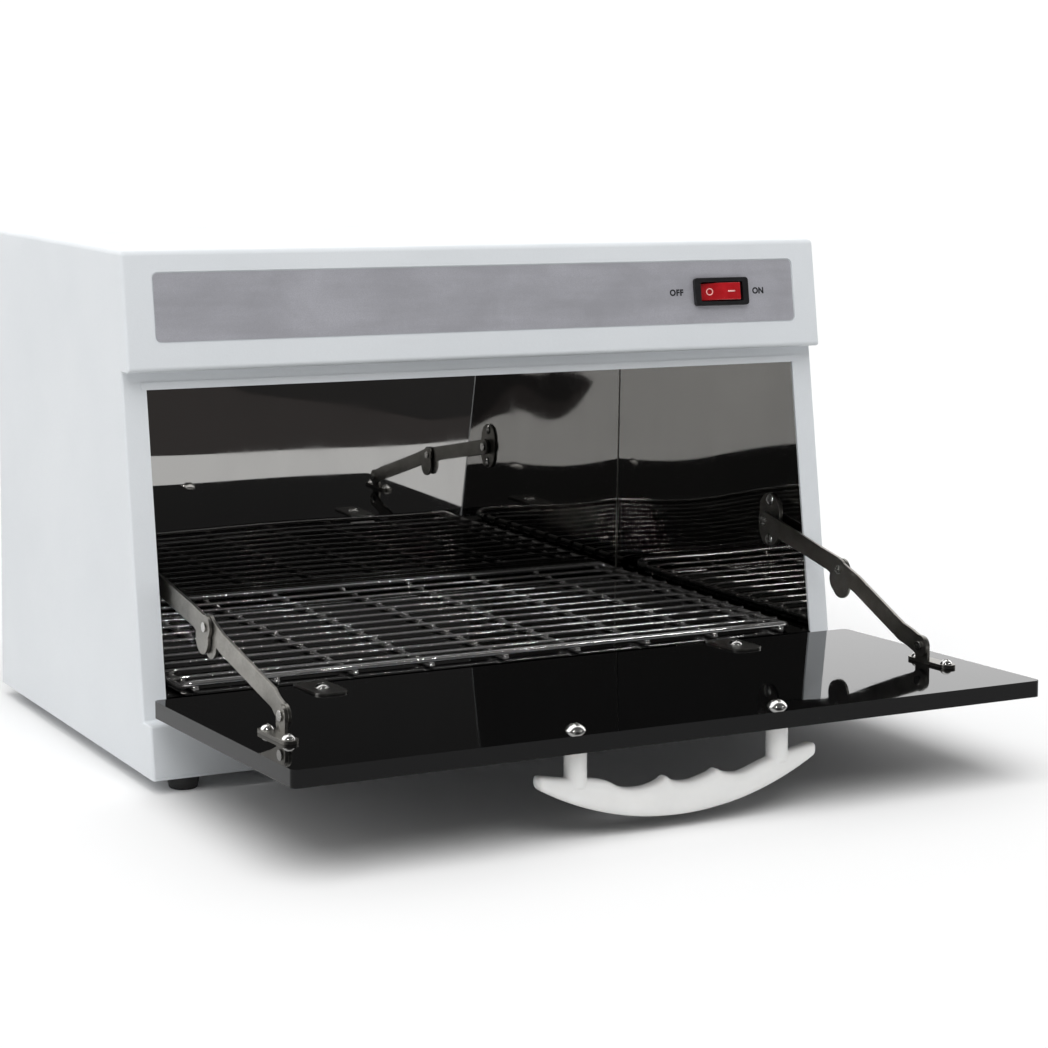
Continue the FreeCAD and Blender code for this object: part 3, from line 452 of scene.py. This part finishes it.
# Width of the rounding in millimetres, its segments, and the nodes that have it.
SOFT_EDGES = (
    (0.12, 2, ("hinge_base_screws", "hinge_door_screws", "handle_screws", "stay_wall_screws",
               "stay_bracket_screws", "foot_screws", "back_screws", "hinge_pins", "elbow_rivet_inner_left",
               "elbow_rivet_inner_right", "elbow_rivet_outer_left", "elbow_rivet_outer_right",
               "stay_wall_rivets", "stay_bracket_rivets")),
    (0.22, 2, ("hinge_base_leaves", "hinge_door_leaves", "stay_wall_plates", "stay_brackets",
               "stay_upper_arm_left", "stay_upper_arm_right", "stay_lower_arm_left", "stay_lower_arm_right",
               "control_label", "bottom_pan", "back_panel", "lamp_reflector", "lamp_caps")),
    (0.45, 3, ("door_panel", "switch_housing", "switch_rocker", "feet", "cord_gland", "lamp_holders",
               "starter", "starter_socket", "terminal_block", "ballast")),
)


def finish_nodes():
    for name, node in frame["nodes"].items():
        node.data.materials.clear()
        node.data.materials.append(FINISHES[FINISH_OF[name]])


def even_normals(obj):
    even = obj.modifiers.new("even", "WEIGHTED_NORMAL")
    even.keep_sharp = False


def soften(name, width, segments):
    """Rounds a node's sharp edges and smooths its curved faces, by modifiers only."""
    node = frame["nodes"][name]
    for face in node.data.polygons:
        face.use_smooth = True
    weld = node.modifiers.new("weld", "WELD")
    weld.merge_threshold = ONE_POINT
    flat = node.modifiers.new("flat", "DECIMATE")
    flat.decimate_type = "DISSOLVE"
    flat.angle_limit = FLAT
    bevel = node.modifiers.new("bevel", "BEVEL")
    bevel.width = width
    bevel.segments = segments
    bevel.limit_method = "ANGLE"
    bevel.angle_limit = SHARP
    bevel.harden_normals = True
    even_normals(node)


finish_nodes()
for edge_width, edge_segments, names in SOFT_EDGES:
    for node_name in names:
        soften(node_name, edge_width * MM, edge_segments)


# ---------------------------------------------------------------- mesh helpers
def loose(name, data):
    """An object in the scene that isn't yet a piece."""
    obj = bpy.data.objects.new(name, data)
    bpy.context.scene.collection.objects.link(obj)
    return obj


def piece(name, mesh, body, slot, finish=None, smooth=True):
    """A made piece that rides on a body; its finish is the slot's own unless another is named."""
    obj = loose(name, mesh)
    mesh.materials.clear()
    mesh.materials.append(FINISHES[finish or slot])
    for face in mesh.polygons:
        face.use_smooth = smooth
    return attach(obj, body)


def mesh_from(bm, name):
    """A mesh of a finished bmesh, with its faces turned outwards."""
    bmesh.ops.recalc_face_normals(bm, faces=bm.faces)
    mesh = bpy.data.meshes.new(name)
    bm.to_mesh(mesh)
    bm.free()
    return mesh


def apply_modifiers(obj):
    """Replaces the object's mesh by its evaluated one."""
    graph = bpy.context.evaluated_depsgraph_get()
    made = bpy.data.meshes.new_from_object(obj.evaluated_get(graph))
    obj.modifiers.clear()
    obj.data = made


def rounded_rectangle(width, height, radius, steps=6):
    """Corner-rounded outline round the local origin, anticlockwise."""
    points = []
    for i, (sx, sy) in enumerate(((1, 1), (-1, 1), (-1, -1), (1, -1))):
        centre = Vector((sx * (width / 2 - radius), sy * (height / 2 - radius)))
        for k in range(steps + 1):
            a = math.radians(90 * i + 90 * k / steps)
            points.append(centre + radius * Vector((math.cos(a), math.sin(a))))
    return points


def slab(outline, low, high):
    """Closed slab between two local heights."""
    bm = bmesh.new()
    rings = [[bm.verts.new((p.x, p.y, z)) for p in outline] for z in (low, high)]
    bm.faces.new(rings[0][::-1])
    bm.faces.new(rings[1])
    count = len(outline)
    for k in range(count):
        bm.faces.new((rings[0][k], rings[0][(k + 1) % count], rings[1][(k + 1) % count], rings[1][k]))
    return bm


# ---------------------------------------------------------------- folded casing
# Corners of the casing's side view: 0 is its back foot edge, and these go on round the front to the top.
FRONT_FOOT, LEDGE, FRAME_FOOT, FRAME_HEAD, BROW, TOP_FRONT, TOP_BACK = range(1, 8)

# Width of each fold in millimetres: those that run across the front, and those along each side.
FOLDS_ACROSS = {FRONT_FOOT: 0.8, LEDGE: 1.2, FRAME_FOOT: 0.8, FRAME_HEAD: 0.8, BROW: 2.6, TOP_FRONT: 2.2}
FOLDS_ALONG = {(FRONT_FOOT, LEDGE): 1.3, (LEDGE, FRAME_FOOT): 0.8, (FRAME_FOOT, FRAME_HEAD): 1.3,
               (FRAME_HEAD, BROW): 0.8, (BROW, TOP_FRONT): 1.5, (TOP_FRONT, TOP_BACK): 2.0}
WIDEST_FOLD = max(FOLDS_ACROSS.values())


def casing_outline():
    """Side view of the casing, one point for each of its corners."""
    return [Vector((0, SIDE_HI.y, SIDE_LO.z)), front_at(SIDE_LO.z), front_at(BASE_TOP),
            front_at(BASE_TOP, RECESS), front_at(HEADER_FOOT, RECESS), front_at(HEADER_FOOT),
            front_at(TOP_HI.z), Vector((0, SIDE_HI.y, TOP_HI.z))]


def weigh_folds(bm, left, right):
    """Gives each fold's edge its share of the widest fold, as the weight of its bevel."""
    weights = bm.edges.layers.float.new("bevel_weight_edge")
    for k, width in FOLDS_ACROSS.items():
        bm.edges.get((left[k], right[k]))[weights] = width / WIDEST_FOLD
    for (a, b), width in FOLDS_ALONG.items():
        for side in (left, right):
            bm.edges.get((side[a], side[b]))[weights] = width / WIDEST_FOLD


def casing_mesh():
    """One folded skin: sides, top, header, recessed door frame with its opening, and base."""
    outline = casing_outline()
    bm = bmesh.new()
    left = [bm.verts.new((-HALF_WIDTH, p.y, p.z)) for p in outline]
    right = [bm.verts.new((HALF_WIDTH, p.y, p.z)) for p in outline]
    bm.faces.new(left)
    bm.faces.new(right[::-1])
    for k in (FRONT_FOOT, LEDGE, FRAME_HEAD, BROW, TOP_FRONT):
        bm.faces.new((left[k], left[k + 1], right[k + 1], right[k]))
    clearance = 0.1 * MM
    hole_z = (OPENING_FOOT - clearance, OPENING_HEAD + clearance)
    hole_x = (-HALF_OPENING, HALF_OPENING)
    hole = [bm.verts.new((x, front_at(z, RECESS).y, z)) for z in hole_z for x in hole_x]
    foot_left, foot_right, head_left, head_right = hole
    bm.faces.new((left[FRAME_FOOT], right[FRAME_FOOT], foot_right, foot_left))
    bm.faces.new((left[FRAME_HEAD], right[FRAME_HEAD], head_right, head_left))
    bm.faces.new((left[FRAME_FOOT], left[FRAME_HEAD], head_left, foot_left))
    bm.faces.new((right[FRAME_FOOT], right[FRAME_HEAD], head_right, foot_right))
    weigh_folds(bm, left, right)
    return mesh_from(bm, "casing_skin")


def casing_shell():
    """The casing: rounded folds, sheet thickness, cuts in the header and softened lips."""
    skin = loose("casing_skin_work", casing_mesh())
    bevel = skin.modifiers.new("bevel", "BEVEL")
    bevel.width = WIDEST_FOLD * MM
    bevel.segments = 4
    bevel.limit_method = "WEIGHT"
    thick = skin.modifiers.new("sheet", "SOLIDIFY")
    thick.thickness = SHEET
    thick.offset = -1.0
    thick.use_even_offset = True
    apply_modifiers(skin)
    cut_header(skin)
    lip = skin.modifiers.new("lip", "BEVEL")
    lip.width = 0.15 * MM
    lip.limit_method = "ANGLE"
    lip.angle_limit = math.radians(50)
    lip.harden_normals = True
    even_normals(skin)
    for face in skin.data.polygons:
        face.use_smooth = True
    apply_modifiers(skin)
    casing = piece("casing_skin", skin.data, "cabinet", "painted_shell")
    bpy.data.objects.remove(skin)
    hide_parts("side_panel_left", "side_panel_right", "top_panel", "header_panel", "base_fascia",
                "frame_jamb_left", "frame_jamb_right", "frame_sill", "frame_head")


def cut_header(skin):
    """Sinks the label's shallow bed into the header and opens the switch hole."""
    face = front_at(LABEL_MIDDLE.z)
    margin, bed_corner, bed_depth, above = 1.2 * MM, 3.0 * MM, 0.5 * MM, 4 * MM
    label_width = LABEL_HI.x - LABEL_LO.x
    label_height = (LABEL_HI.z - LABEL_LO.z) / math.cos(LEAN)
    bed = slab(rounded_rectangle(label_width + margin, label_height + margin, bed_corner), -bed_depth, above)
    bed.transform(basis(face, RIGHT, UP_FRONT))
    hole_width, hole_height, hole_corner, reach = 28.4 * MM, 12.4 * MM, 1.0 * MM, 6 * MM
    hole = slab(rounded_rectangle(hole_width, hole_height, hole_corner), -reach, reach)
    hole.transform(basis(face + SWITCH_X * RIGHT, RIGHT, UP_FRONT))
    for bm in (bed, hole):
        cutter = loose("cutter", mesh_from(bm, "cutter"))
        boolean = skin.modifiers.new("cut", "BOOLEAN")
        boolean.operation = "DIFFERENCE"
        boolean.solver = "EXACT"
        boolean.object = cutter
        apply_modifiers(skin)
        bpy.data.objects.remove(cutter)


def frame_hem():
    """The folded hem over the opening: a fine step across the door frame, in the header's shadow."""
    height, overhang, corner = 3.4 * MM, 5 * MM, 0.6 * MM
    inner, outer = -0.3 * MM, 0.45 * MM
    bm = slab(rounded_rectangle(2 * HALF_OPENING + overhang, height, corner, 3), inner, outer)
    bm.transform(basis(front_at(OPENING_HEAD + 0.5 * height, RECESS), RIGHT, UP_FRONT))
    piece("frame_hem", mesh_from(bm, "frame_hem"), "cabinet", "painted_shell", smooth=False)


casing_shell()
frame_hem()


# ---------------------------------------------------------------- handle
def smooth_line(points, x):
    """Catmull-Rom value at x through (x, value) points."""
    k = max(i for i in range(len(points) - 1) if points[i][0] <= x or i == 0)
    x0, v0 = points[k]
    x1, v1 = points[k + 1]
    before = points[k - 1] if k else points[k]
    after = points[k + 2] if k + 2 < len(points) else points[k + 1]
    t = (x - x0) / (x1 - x0)
    m0 = (v1 - before[1]) / (x1 - before[0]) * (x1 - x0)
    m1 = (after[1] - v0) / (after[0] - x0) * (x1 - x0)
    return ((2 * t ** 3 - 3 * t ** 2 + 1) * v0 + (t ** 3 - 2 * t ** 2 + t) * m0
            + (3 * t ** 2 - 2 * t ** 3) * v1 + (t ** 3 - t ** 2) * m1)


def grip_section(x, tip, crown, fingers):
    """Inner edge, outer edge and half thickness of the grip at x, in millimetres off the door."""
    tip_height, rounding = 15.0, 2.0
    thickness, thinning = 4.5, 0.8
    tip_depth, tip_thickness = 0.45, 0.5          # shares of the full section that are left at the very tip
    radius = (tip ** 2 + (crown - tip_height) ** 2) / (2 * (crown - tip_height))
    outer = crown - radius + math.sqrt(radius ** 2 - x ** 2)
    inner = smooth_line(fingers, x)
    end = math.sqrt(max(0.0, 1 - max(0.0, (abs(x) - (tip - rounding)) / rounding) ** 2))
    middle = (inner + outer) / 2
    half = (outer - inner) / 2 * (tip_depth + (1 - tip_depth) * end)
    share = min(abs(x) / tip, 1.0)
    thick = (thickness - thinning * share ** 3) * (tip_thickness + (1 - tip_thickness) * end)
    return middle - half, middle + half, thick


def grip_loft(bm, tip):
    """Skins the grip's sections, which are rounded oblongs, from tip to tip."""
    crown = 33.8
    fingers = [(-74, 9.4), (-69, 9.6), (-56, 12.0), (-43.4, 13.4), (-36, 15.2), (-28.5, 18.9),
               (-20, 20.0), (-13.2, 19.1), (-9.4, 17.7), (-7.3, 16.2), (-5.0, 17.9), (-0.8, 19.4),
               (5.5, 19.8), (12.2, 18.4), (16.3, 17.0), (18.3, 15.9), (20.5, 17.2), (25.0, 18.6),
               (31, 19.0), (37.5, 17.0), (45.4, 14.4), (56, 12.0), (69, 9.6), (74, 9.4)]
    stations, around, power = 120, 28, 2.0 / 3.4
    rings = []
    for i in range(stations + 1):
        x = -tip + 2 * tip * i / stations
        inner, outer, half = grip_section(x, tip, crown, fingers)
        ring = []
        for k in range(around):
            a = 2 * math.pi * k / around
            c, s = math.cos(a), math.sin(a)
            depth = half * math.copysign(abs(c) ** power, c)
            off = (inner + outer) / 2 + (outer - inner) / 2 * math.copysign(abs(s) ** power, s)
            ring.append(bm.verts.new((x * MM, depth * MM, off * MM)))
        rings.append(ring)
    for first, second in zip(rings, rings[1:]):
        for k in range(around):
            bm.faces.new((first[k], first[(k + 1) % around], second[(k + 1) % around], second[k]))
    bm.faces.new(rings[0])
    bm.faces.new(rings[-1][::-1])


def handle():
    """A moulded bow handle, lofted, then grown together with its two posts."""
    lo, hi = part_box("door_handle")
    inset = 0.2                                   # millimetres that the tips stay inside the node's box
    bm = bmesh.new()
    grip_loft(bm, (hi.x - lo.x) / 2 / MM - inset)
    post_place, post_radius, post_height = 50.3 * MM, 4.9 * MM, 16.0 * MM
    for side in (-1, 1):
        middle = Matrix.Translation((side * post_place, 0, post_height / 2))
        bmesh.ops.create_cone(bm, cap_ends=True, segments=40, radius1=post_radius, radius2=post_radius,
                              depth=post_height, matrix=middle)
    from_hinge, door_face = 142.5 * MM, 3.0 * MM
    place = HINGE + from_hinge * ALONG_DOOR + door_face * OFF_DOOR
    place.x = (lo.x + hi.x) / 2
    bm.transform(basis(place, RIGHT, ALONG_DOOR))
    work = loose("handle_work", mesh_from(bm, "handle"))
    grown = work.modifiers.new("grown", "REMESH")
    grown.mode = "VOXEL"
    grown.voxel_size = 0.45 * MM
    relaxed = work.modifiers.new("relaxed", "SMOOTH")
    relaxed.factor = 0.5
    relaxed.iterations = 3
    apply_modifiers(work)
    made = piece("handle_grip", work.data, "door", "handle_plastic")
    bpy.data.objects.remove(work)
    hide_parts("door_handle")


handle()


# ---------------------------------------------------------------- wire rack
def tube(bm, points, radius, closed=False, sides=12):
    """A round wire along points, with flat ends if it isn't closed."""
    count = len(points)
    rings = []
    for i, p in enumerate(points):
        before = points[(i - 1) % count] if closed or i else p
        after = points[(i + 1) % count] if closed or i < count - 1 else p
        ahead = (after - before).normalized()
        side = ahead.cross(Vector((0, 0, 1))).normalized()
        up = side.cross(ahead)
        ring = []
        for k in range(sides):
            a = 2 * math.pi * k / sides
            ring.append(bm.verts.new(p + radius * (math.cos(a) * side + math.sin(a) * up)))
        rings.append(ring)
    pairs = zip(rings, rings[1:] + rings[:1]) if closed else zip(rings, rings[1:])
    for first, second in pairs:
        for k in range(sides):
            bm.faces.new((first[k], first[(k + 1) % sides], second[(k + 1) % sides], second[k]))
    if not closed:
        bm.faces.new(rings[0])
        bm.faces.new(rings[-1][::-1])


def weld_blob(bm, place, size):
    """A small ellipsoid with the three half sizes given."""
    scale = Matrix.Diagonal((*size, 1.0))
    bmesh.ops.create_icosphere(bm, subdivisions=2, radius=1.0, matrix=Matrix.Translation(place) @ scale)


RACK_LO, RACK_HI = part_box("wire_rack")
RIM_R, WIRE_R, CROSS_R = 1.6 * MM, 1.0 * MM, 1.25 * MM      # radii of the rack's three kinds of rod
CROSS_Z = RACK_LO.z + CROSS_R
WIRE_Z = CROSS_Z + CROSS_R + WIRE_R - 0.1 * MM
RACK_FRONT, RACK_BACK = RACK_LO.y + RIM_R, RACK_HI.y - RIM_R


def rack_rim(bm):
    """The thick rod round the rack, which runs a little lower along its two sides."""
    corner, steps, dip = 6.0 * MM, 10, 2.0 * MM
    half = RACK_HI.x - RIM_R - 1.2 * MM
    ring = []
    for i, (sx, y) in enumerate(((1, RACK_BACK), (-1, RACK_BACK), (-1, RACK_FRONT), (1, RACK_FRONT))):
        inward = -1 if y == RACK_BACK else 1
        centre = Vector((sx * (half - corner), y + inward * corner, RACK_HI.z - RIM_R))
        for k in range(steps + 1):
            a = math.radians(90 * i + 90 * k / steps)
            to_side = k / steps if i % 2 else 1 - k / steps
            down = Vector((0, 0, -dip * (3 * to_side ** 2 - 2 * to_side ** 3)))
            ring.append(centre + corner * Vector((math.cos(a), math.sin(a), 0)) + down)
    tube(bm, ring, RIM_R, closed=True, sides=16)


def long_wires(bm, xs):
    """The wires from side to side, each welded to the rim and to every cross wire at xs."""
    wires, spans = 11, 16
    reach = RACK_HI.x - 1.4 * MM
    end_weld = (1.15 * MM, 1.1 * MM, 1.0 * MM)
    for i in range(1, wires + 1):
        y = RACK_FRONT + (RACK_BACK - RACK_FRONT) * i / (wires + 1)
        lean = RNG.uniform(-0.5, 0.5) * MM
        bow = RNG.uniform(-0.25, 0.25) * MM
        run = [-1 + 2 * k / spans for k in range(spans + 1)]
        tube(bm, [Vector((reach * t, y + lean * t + bow * (1 - t * t), WIRE_Z)) for t in run], WIRE_R)
        for side in (-1, 1):
            weld_blob(bm, Vector((side * reach, y + side * lean, WIRE_Z)), end_weld)
        for x in xs:
            place = Vector((x, y + lean * x / reach, WIRE_Z - WIRE_R))
            weld_blob(bm, place, (RNG.uniform(1.2, 1.6) * MM, 1.35 * MM, 0.9 * MM))


def cross_wires(bm, xs):
    """The wires from front to back under the others, welded to the rim at both ends."""
    spans, overhang = 6, 1.4 * MM
    length = RACK_BACK - RACK_FRONT + 2 * overhang
    rim_weld = (1.8 * MM, 1.45 * MM, 1.2 * MM)
    for x in xs:
        drift = RNG.uniform(-0.5, 0.5) * MM
        shares = [k / spans for k in range(spans + 1)]
        run = [Vector((x + drift * t, RACK_FRONT - overhang + length * t, CROSS_Z)) for t in shares]
        tube(bm, run, CROSS_R)
        for y, shift in ((RACK_FRONT, 0.0), (RACK_BACK, drift)):
            weld_blob(bm, Vector((x + shift, y, CROSS_Z + 1.1 * MM)), rim_weld)


def wire_rack():
    """The rack's rods with slightly uneven runs and a weld at every crossing."""
    crosses = 9
    outermost = RACK_HI.x - RIM_R - 7.0 * MM
    xs = [-outermost + i * 2 * outermost / (crosses - 1) for i in range(crosses)]
    bm = bmesh.new()
    rack_rim(bm)
    long_wires(bm, xs)
    cross_wires(bm, xs)
    made = piece("wire_rack_welded", mesh_from(bm, "wire_rack"), "rack", "rack_wire")
    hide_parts("wire_rack")


wire_rack()


# ---------------------------------------------------------------- liner corners
def liner_corners():
    """The folded joints where the side liners meet the back liner, drawn in the darker stay steel instead of
    the liners' polished steel as painted shade in the corners.
    """
    back_lo, back_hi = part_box("liner_back")
    size, hollow = 0.55 * MM, 0.35
    foot, head = back_lo.z + 2 * MM, back_hi.z - 1.5 * MM
    for name, side in (("left", -1), ("right", 1)):
        outline = [Vector(p) * size for p in ((0, 0), (-side, 0), (-side * hollow, -hollow), (0, -1))]
        bm = slab(outline, foot, head)
        bm.transform(Matrix.Translation((side * back_hi.x, back_lo.y, 0)))
        # Painted shade: the folds keep the polished liner's slot but take the darker stay steel finish.
        piece("liner_corner_" + name, mesh_from(bm, "liner_corner"), "cabinet", "polished_liner",
              "stay_steel", smooth=False)


liner_corners()


# ---------------------------------------------------------------- markings
def lettering(name, words, spread, x):
    """Small printed capitals halfway down the label, centred on x."""
    height, boldness, film, sunk = 2.9 * MM, 0.065, 0.03 * MM, 0.12 * MM
    capital = 0.70                    # a capital's share of the font's size
    curve = bpy.data.curves.new(name, "FONT")
    curve.body = words
    curve.size = height / capital
    curve.align_x = "CENTER"
    curve.align_y = "CENTER"
    curve.extrude = film
    curve.offset = height * boldness
    curve.space_character = spread
    text = loose(name + "_work", curve)
    mesh = bpy.data.meshes.new_from_object(text)
    bpy.data.objects.remove(text)
    drop = (TOP_HI.z - LABEL_MIDDLE.z) / math.cos(LEAN)
    place = front_at(TOP_HI.z) - drop * UP_FRONT - sunk * OUT_FRONT
    place.x = x
    mesh.transform(basis(place, RIGHT, UP_FRONT))
    piece(name, mesh, "cabinet", "label_film", "ink", smooth=False)


def ring_mark():
    """A ring that lies flat at the origin."""
    radius, line, corners = 1.55 * MM, 0.28 * MM, 32
    turns = [2 * math.pi * k / corners for k in range(corners)]
    ring = [Vector((radius * math.cos(a), radius * math.sin(a), 0)) for a in turns]
    bm = bmesh.new()
    tube(bm, ring, line, closed=True, sides=8)
    return bm


def bar_mark():
    """A bar that lies flat at the origin."""
    width, height, corner = 4.2 * MM, 0.75 * MM, 0.3 * MM
    return slab(rounded_rectangle(width, height, corner), -0.2 * MM, 0.12 * MM)


def rocker_marks():
    """A ring and a bar let into the rocker's two faces."""
    centre = joint_place("switch_rock")
    tilt = Matrix.Rotation(-math.radians(10.0), 4, "Y")       # how the rocker rests
    slope = math.atan2(2.0, 11.3)                             # of each face, from the ridge to its end
    from_middle, above_pivot = 5.9 * MM, 5.47 * MM
    for name, side, bm in (("rocker_mark_off", -1, ring_mark()), ("rocker_mark_on", 1, bar_mark())):
        place = Matrix.Translation((side * from_middle, 0, above_pivot))
        face = place @ Matrix.Rotation(side * slope, 4, "Y")
        bm.transform(basis(centre, RIGHT, UP_FRONT) @ (tilt @ face))
        piece(name, mesh_from(bm, name), "switch_key", "rocker_red", "rocker_mark")


lettering("label_off", "OFF", 1.12, SWITCH_X - 25.5 * MM)
lettering("label_on", "ON", 1.05, SWITCH_X + 22.5 * MM)
rocker_marks()


# ---------------------------------------------------------------- stage and light
FRONT_IN_MIRRORS, BACK_IN_MIRRORS = 0.08, 1.6      # brightness of the room's two halves
DIM_TO, BRIGHT_FROM = -0.05, 0.10                  # directions along Y between which one turns into the other
FILL, BACKDROP = 0.46, 1.1                         # brightness on matt surfaces, and behind the object

FAR = 3.0                                          # the mats run this far to the front and the right
BROWN, BLACK = (0.036, 0.031, 0.030), (0.010, 0.009, 0.009)
BROWN_MAT = ((-0.16, -0.64), (-0.30, -0.78), (-0.47, -1.02), (-0.9, -FAR), (FAR, -FAR), (FAR, -0.65))
BLACK_MAT_RIGHT = ((0.54, -0.80), (0.53, -0.95), (0.46, -1.07), (0.5, -FAR), (FAR, -FAR), (FAR, -0.80))
BLACK_MAT_LEFT = ((-0.22, -0.71), (-0.31, -0.82), (-0.47, -1.04), (-0.9, -FAR), (-0.3, -FAR), (-0.1, -0.71))

# Sizes of the small hard lights, then the place, size and power of each.
DOT, SQUARE, STRIP = (0.02, 0.02), (0.10, 0.10), (0.30, 0.05)
SPARKLES = (((0.47, -1.25, 0.80), DOT, 0.25), ((0.60, -1.20, 0.80), DOT, 0.25),
            ((0.74, -1.12, 0.80), DOT, 0.25), ((0.93, -0.98, 0.85), STRIP, 1.2),
            ((-0.80, -1.20, 0.80), SQUARE, 1.8), ((-0.98, -1.05, 0.85), SQUARE, 1.8),
            ((-0.90, -1.10, 1.50), STRIP, 1.5))


def stage_sheet(name, corners, colour, rough):
    """A flat sheet that isn't part of the object, very slightly cloudy."""
    bm = bmesh.new()
    bm.faces.new([bm.verts.new(c) for c in corners])
    obj = loose(name, mesh_from(bm, name))
    s = Surface(name)
    cloud = s.remap(s.noise(0.4, 2.0), 0.3, 0.7)
    s.colour(s.blend(cloud, colour, scaled(colour, 0.98)))
    s.roughness(s.remap(cloud, 0.0, 1.0, rough, rough * 0.95))
    obj.data.materials.append(s.material)
    return obj


def floor():
    reach = 6.0
    corners = [(-reach, -reach, 0), (reach, -reach, 0), (reach, reach, 0), (-reach, reach, 0)]
    stage_sheet("floor", corners, (0.93, 0.93, 0.93), 0.85)


def mirrored_mat(name, outline, height, colour):
    """A mat on the floor in front, which only mirrors see: it gives polished faces something to show."""
    mat = stage_sheet(name, [(x, y, height) for x, y in outline], colour, 0.9)
    mat.visible_camera = False
    mat.visible_diffuse = False
    mat.visible_shadow = False
    mat.visible_transmission = False


def add_lamp(name, kind, place, from_direction):
    """A lamp at a place, whose light comes from a direction; mirrors don't show the lamp itself."""
    data = bpy.data.lights.new(name, kind)
    lamp = bpy.data.objects.new(name, data)
    turned = from_direction.to_track_quat("Z", "Y").to_matrix().to_4x4()
    lamp.matrix_world = Matrix.Translation(place) @ turned
    lamp.visible_glossy = False
    bpy.context.scene.collection.objects.link(lamp)
    return lamp


def soft_light(name, place, size, power):
    """A rectangular lamp that shines on the middle of the object."""
    target = Vector((0, 0, 0.1))
    lamp = add_lamp(name, "AREA", place, Vector(place) - target)
    lamp.data.shape = "RECTANGLE"
    lamp.data.size, lamp.data.size_y = size
    lamp.data.energy = power
    return lamp


def overhead(from_direction, strength, spread):
    """Even light from a wide softbox far overhead."""
    lamp = add_lamp("overhead", "SUN", (0, 0, 0), Vector(from_direction))
    lamp.data.energy = strength
    lamp.data.angle = math.radians(spread)


def bright_metal_sparkles():
    """Small hard lights in front that only the rack, screws and rivets catch."""
    catching = bpy.data.collections.new("bright_metal")
    for obj in bpy.context.scene.objects:
        if any(word in obj.name for word in ("wire_rack", "screws", "rivet")):
            catching.objects.link(obj)
    for place, size, power in SPARKLES:
        lamp = soft_light("sparkle", place, size, power)
        lamp.visible_glossy = True
        lamp.light_linking.receiver_collection = catching


def studio_world():
    """A white room; its front half is dim in mirrors."""
    world = bpy.data.worlds.new("studio")
    world.use_nodes = True
    tree = world.node_tree
    room = tree.nodes["Background"]
    room.inputs["Color"].default_value = (1.0, 1.0, 1.0, 1.0)
    way = tree.nodes.new("ShaderNodeTexCoord")
    split = tree.nodes.new("ShaderNodeSeparateXYZ")
    tree.links.new(way.outputs["Generated"], split.inputs[0])
    ramp = tree.nodes.new("ShaderNodeMapRange")
    for key, number in (("From Min", DIM_TO), ("From Max", BRIGHT_FROM), ("To Min", FRONT_IN_MIRRORS),
                        ("To Max", BACK_IN_MIRRORS)):
        ramp.inputs[key].default_value = number
    tree.links.new(split.outputs["Y"], ramp.inputs["Value"])
    path = tree.nodes.new("ShaderNodeLightPath")
    first, second = MIX_NUMBERS
    in_mirrors = tree.nodes.new("ShaderNodeMix")
    in_mirrors.inputs[first].default_value = FILL
    tree.links.new(path.outputs["Is Glossy Ray"], in_mirrors.inputs[MIX_FACTOR])
    tree.links.new(ramp.outputs["Result"], in_mirrors.inputs[second])
    behind = tree.nodes.new("ShaderNodeMix")
    behind.inputs[second].default_value = BACKDROP
    tree.links.new(path.outputs["Is Camera Ray"], behind.inputs[MIX_FACTOR])
    tree.links.new(in_mirrors.outputs[MIX_NUMBER_OUT], behind.inputs[first])
    tree.links.new(behind.outputs[MIX_NUMBER_OUT], room.inputs["Strength"])
    bpy.context.scene.world = world


bpy.context.scene.view_settings.view_transform = "Standard"
floor()
mirrored_mat("brown_mat", BROWN_MAT, 1 * MM, BROWN)
mirrored_mat("black_mat_right", BLACK_MAT_RIGHT, 2 * MM, BLACK)
mirrored_mat("black_mat_left", BLACK_MAT_LEFT, 2 * MM, BLACK)
studio_world()
overhead((-0.25, -0.42, 1.0), 2.25, 60.0)
soft_light("left", (-2.0, -0.2, 1.0), (1.0, 1.0), 3.0)
bright_metal_sparkles()
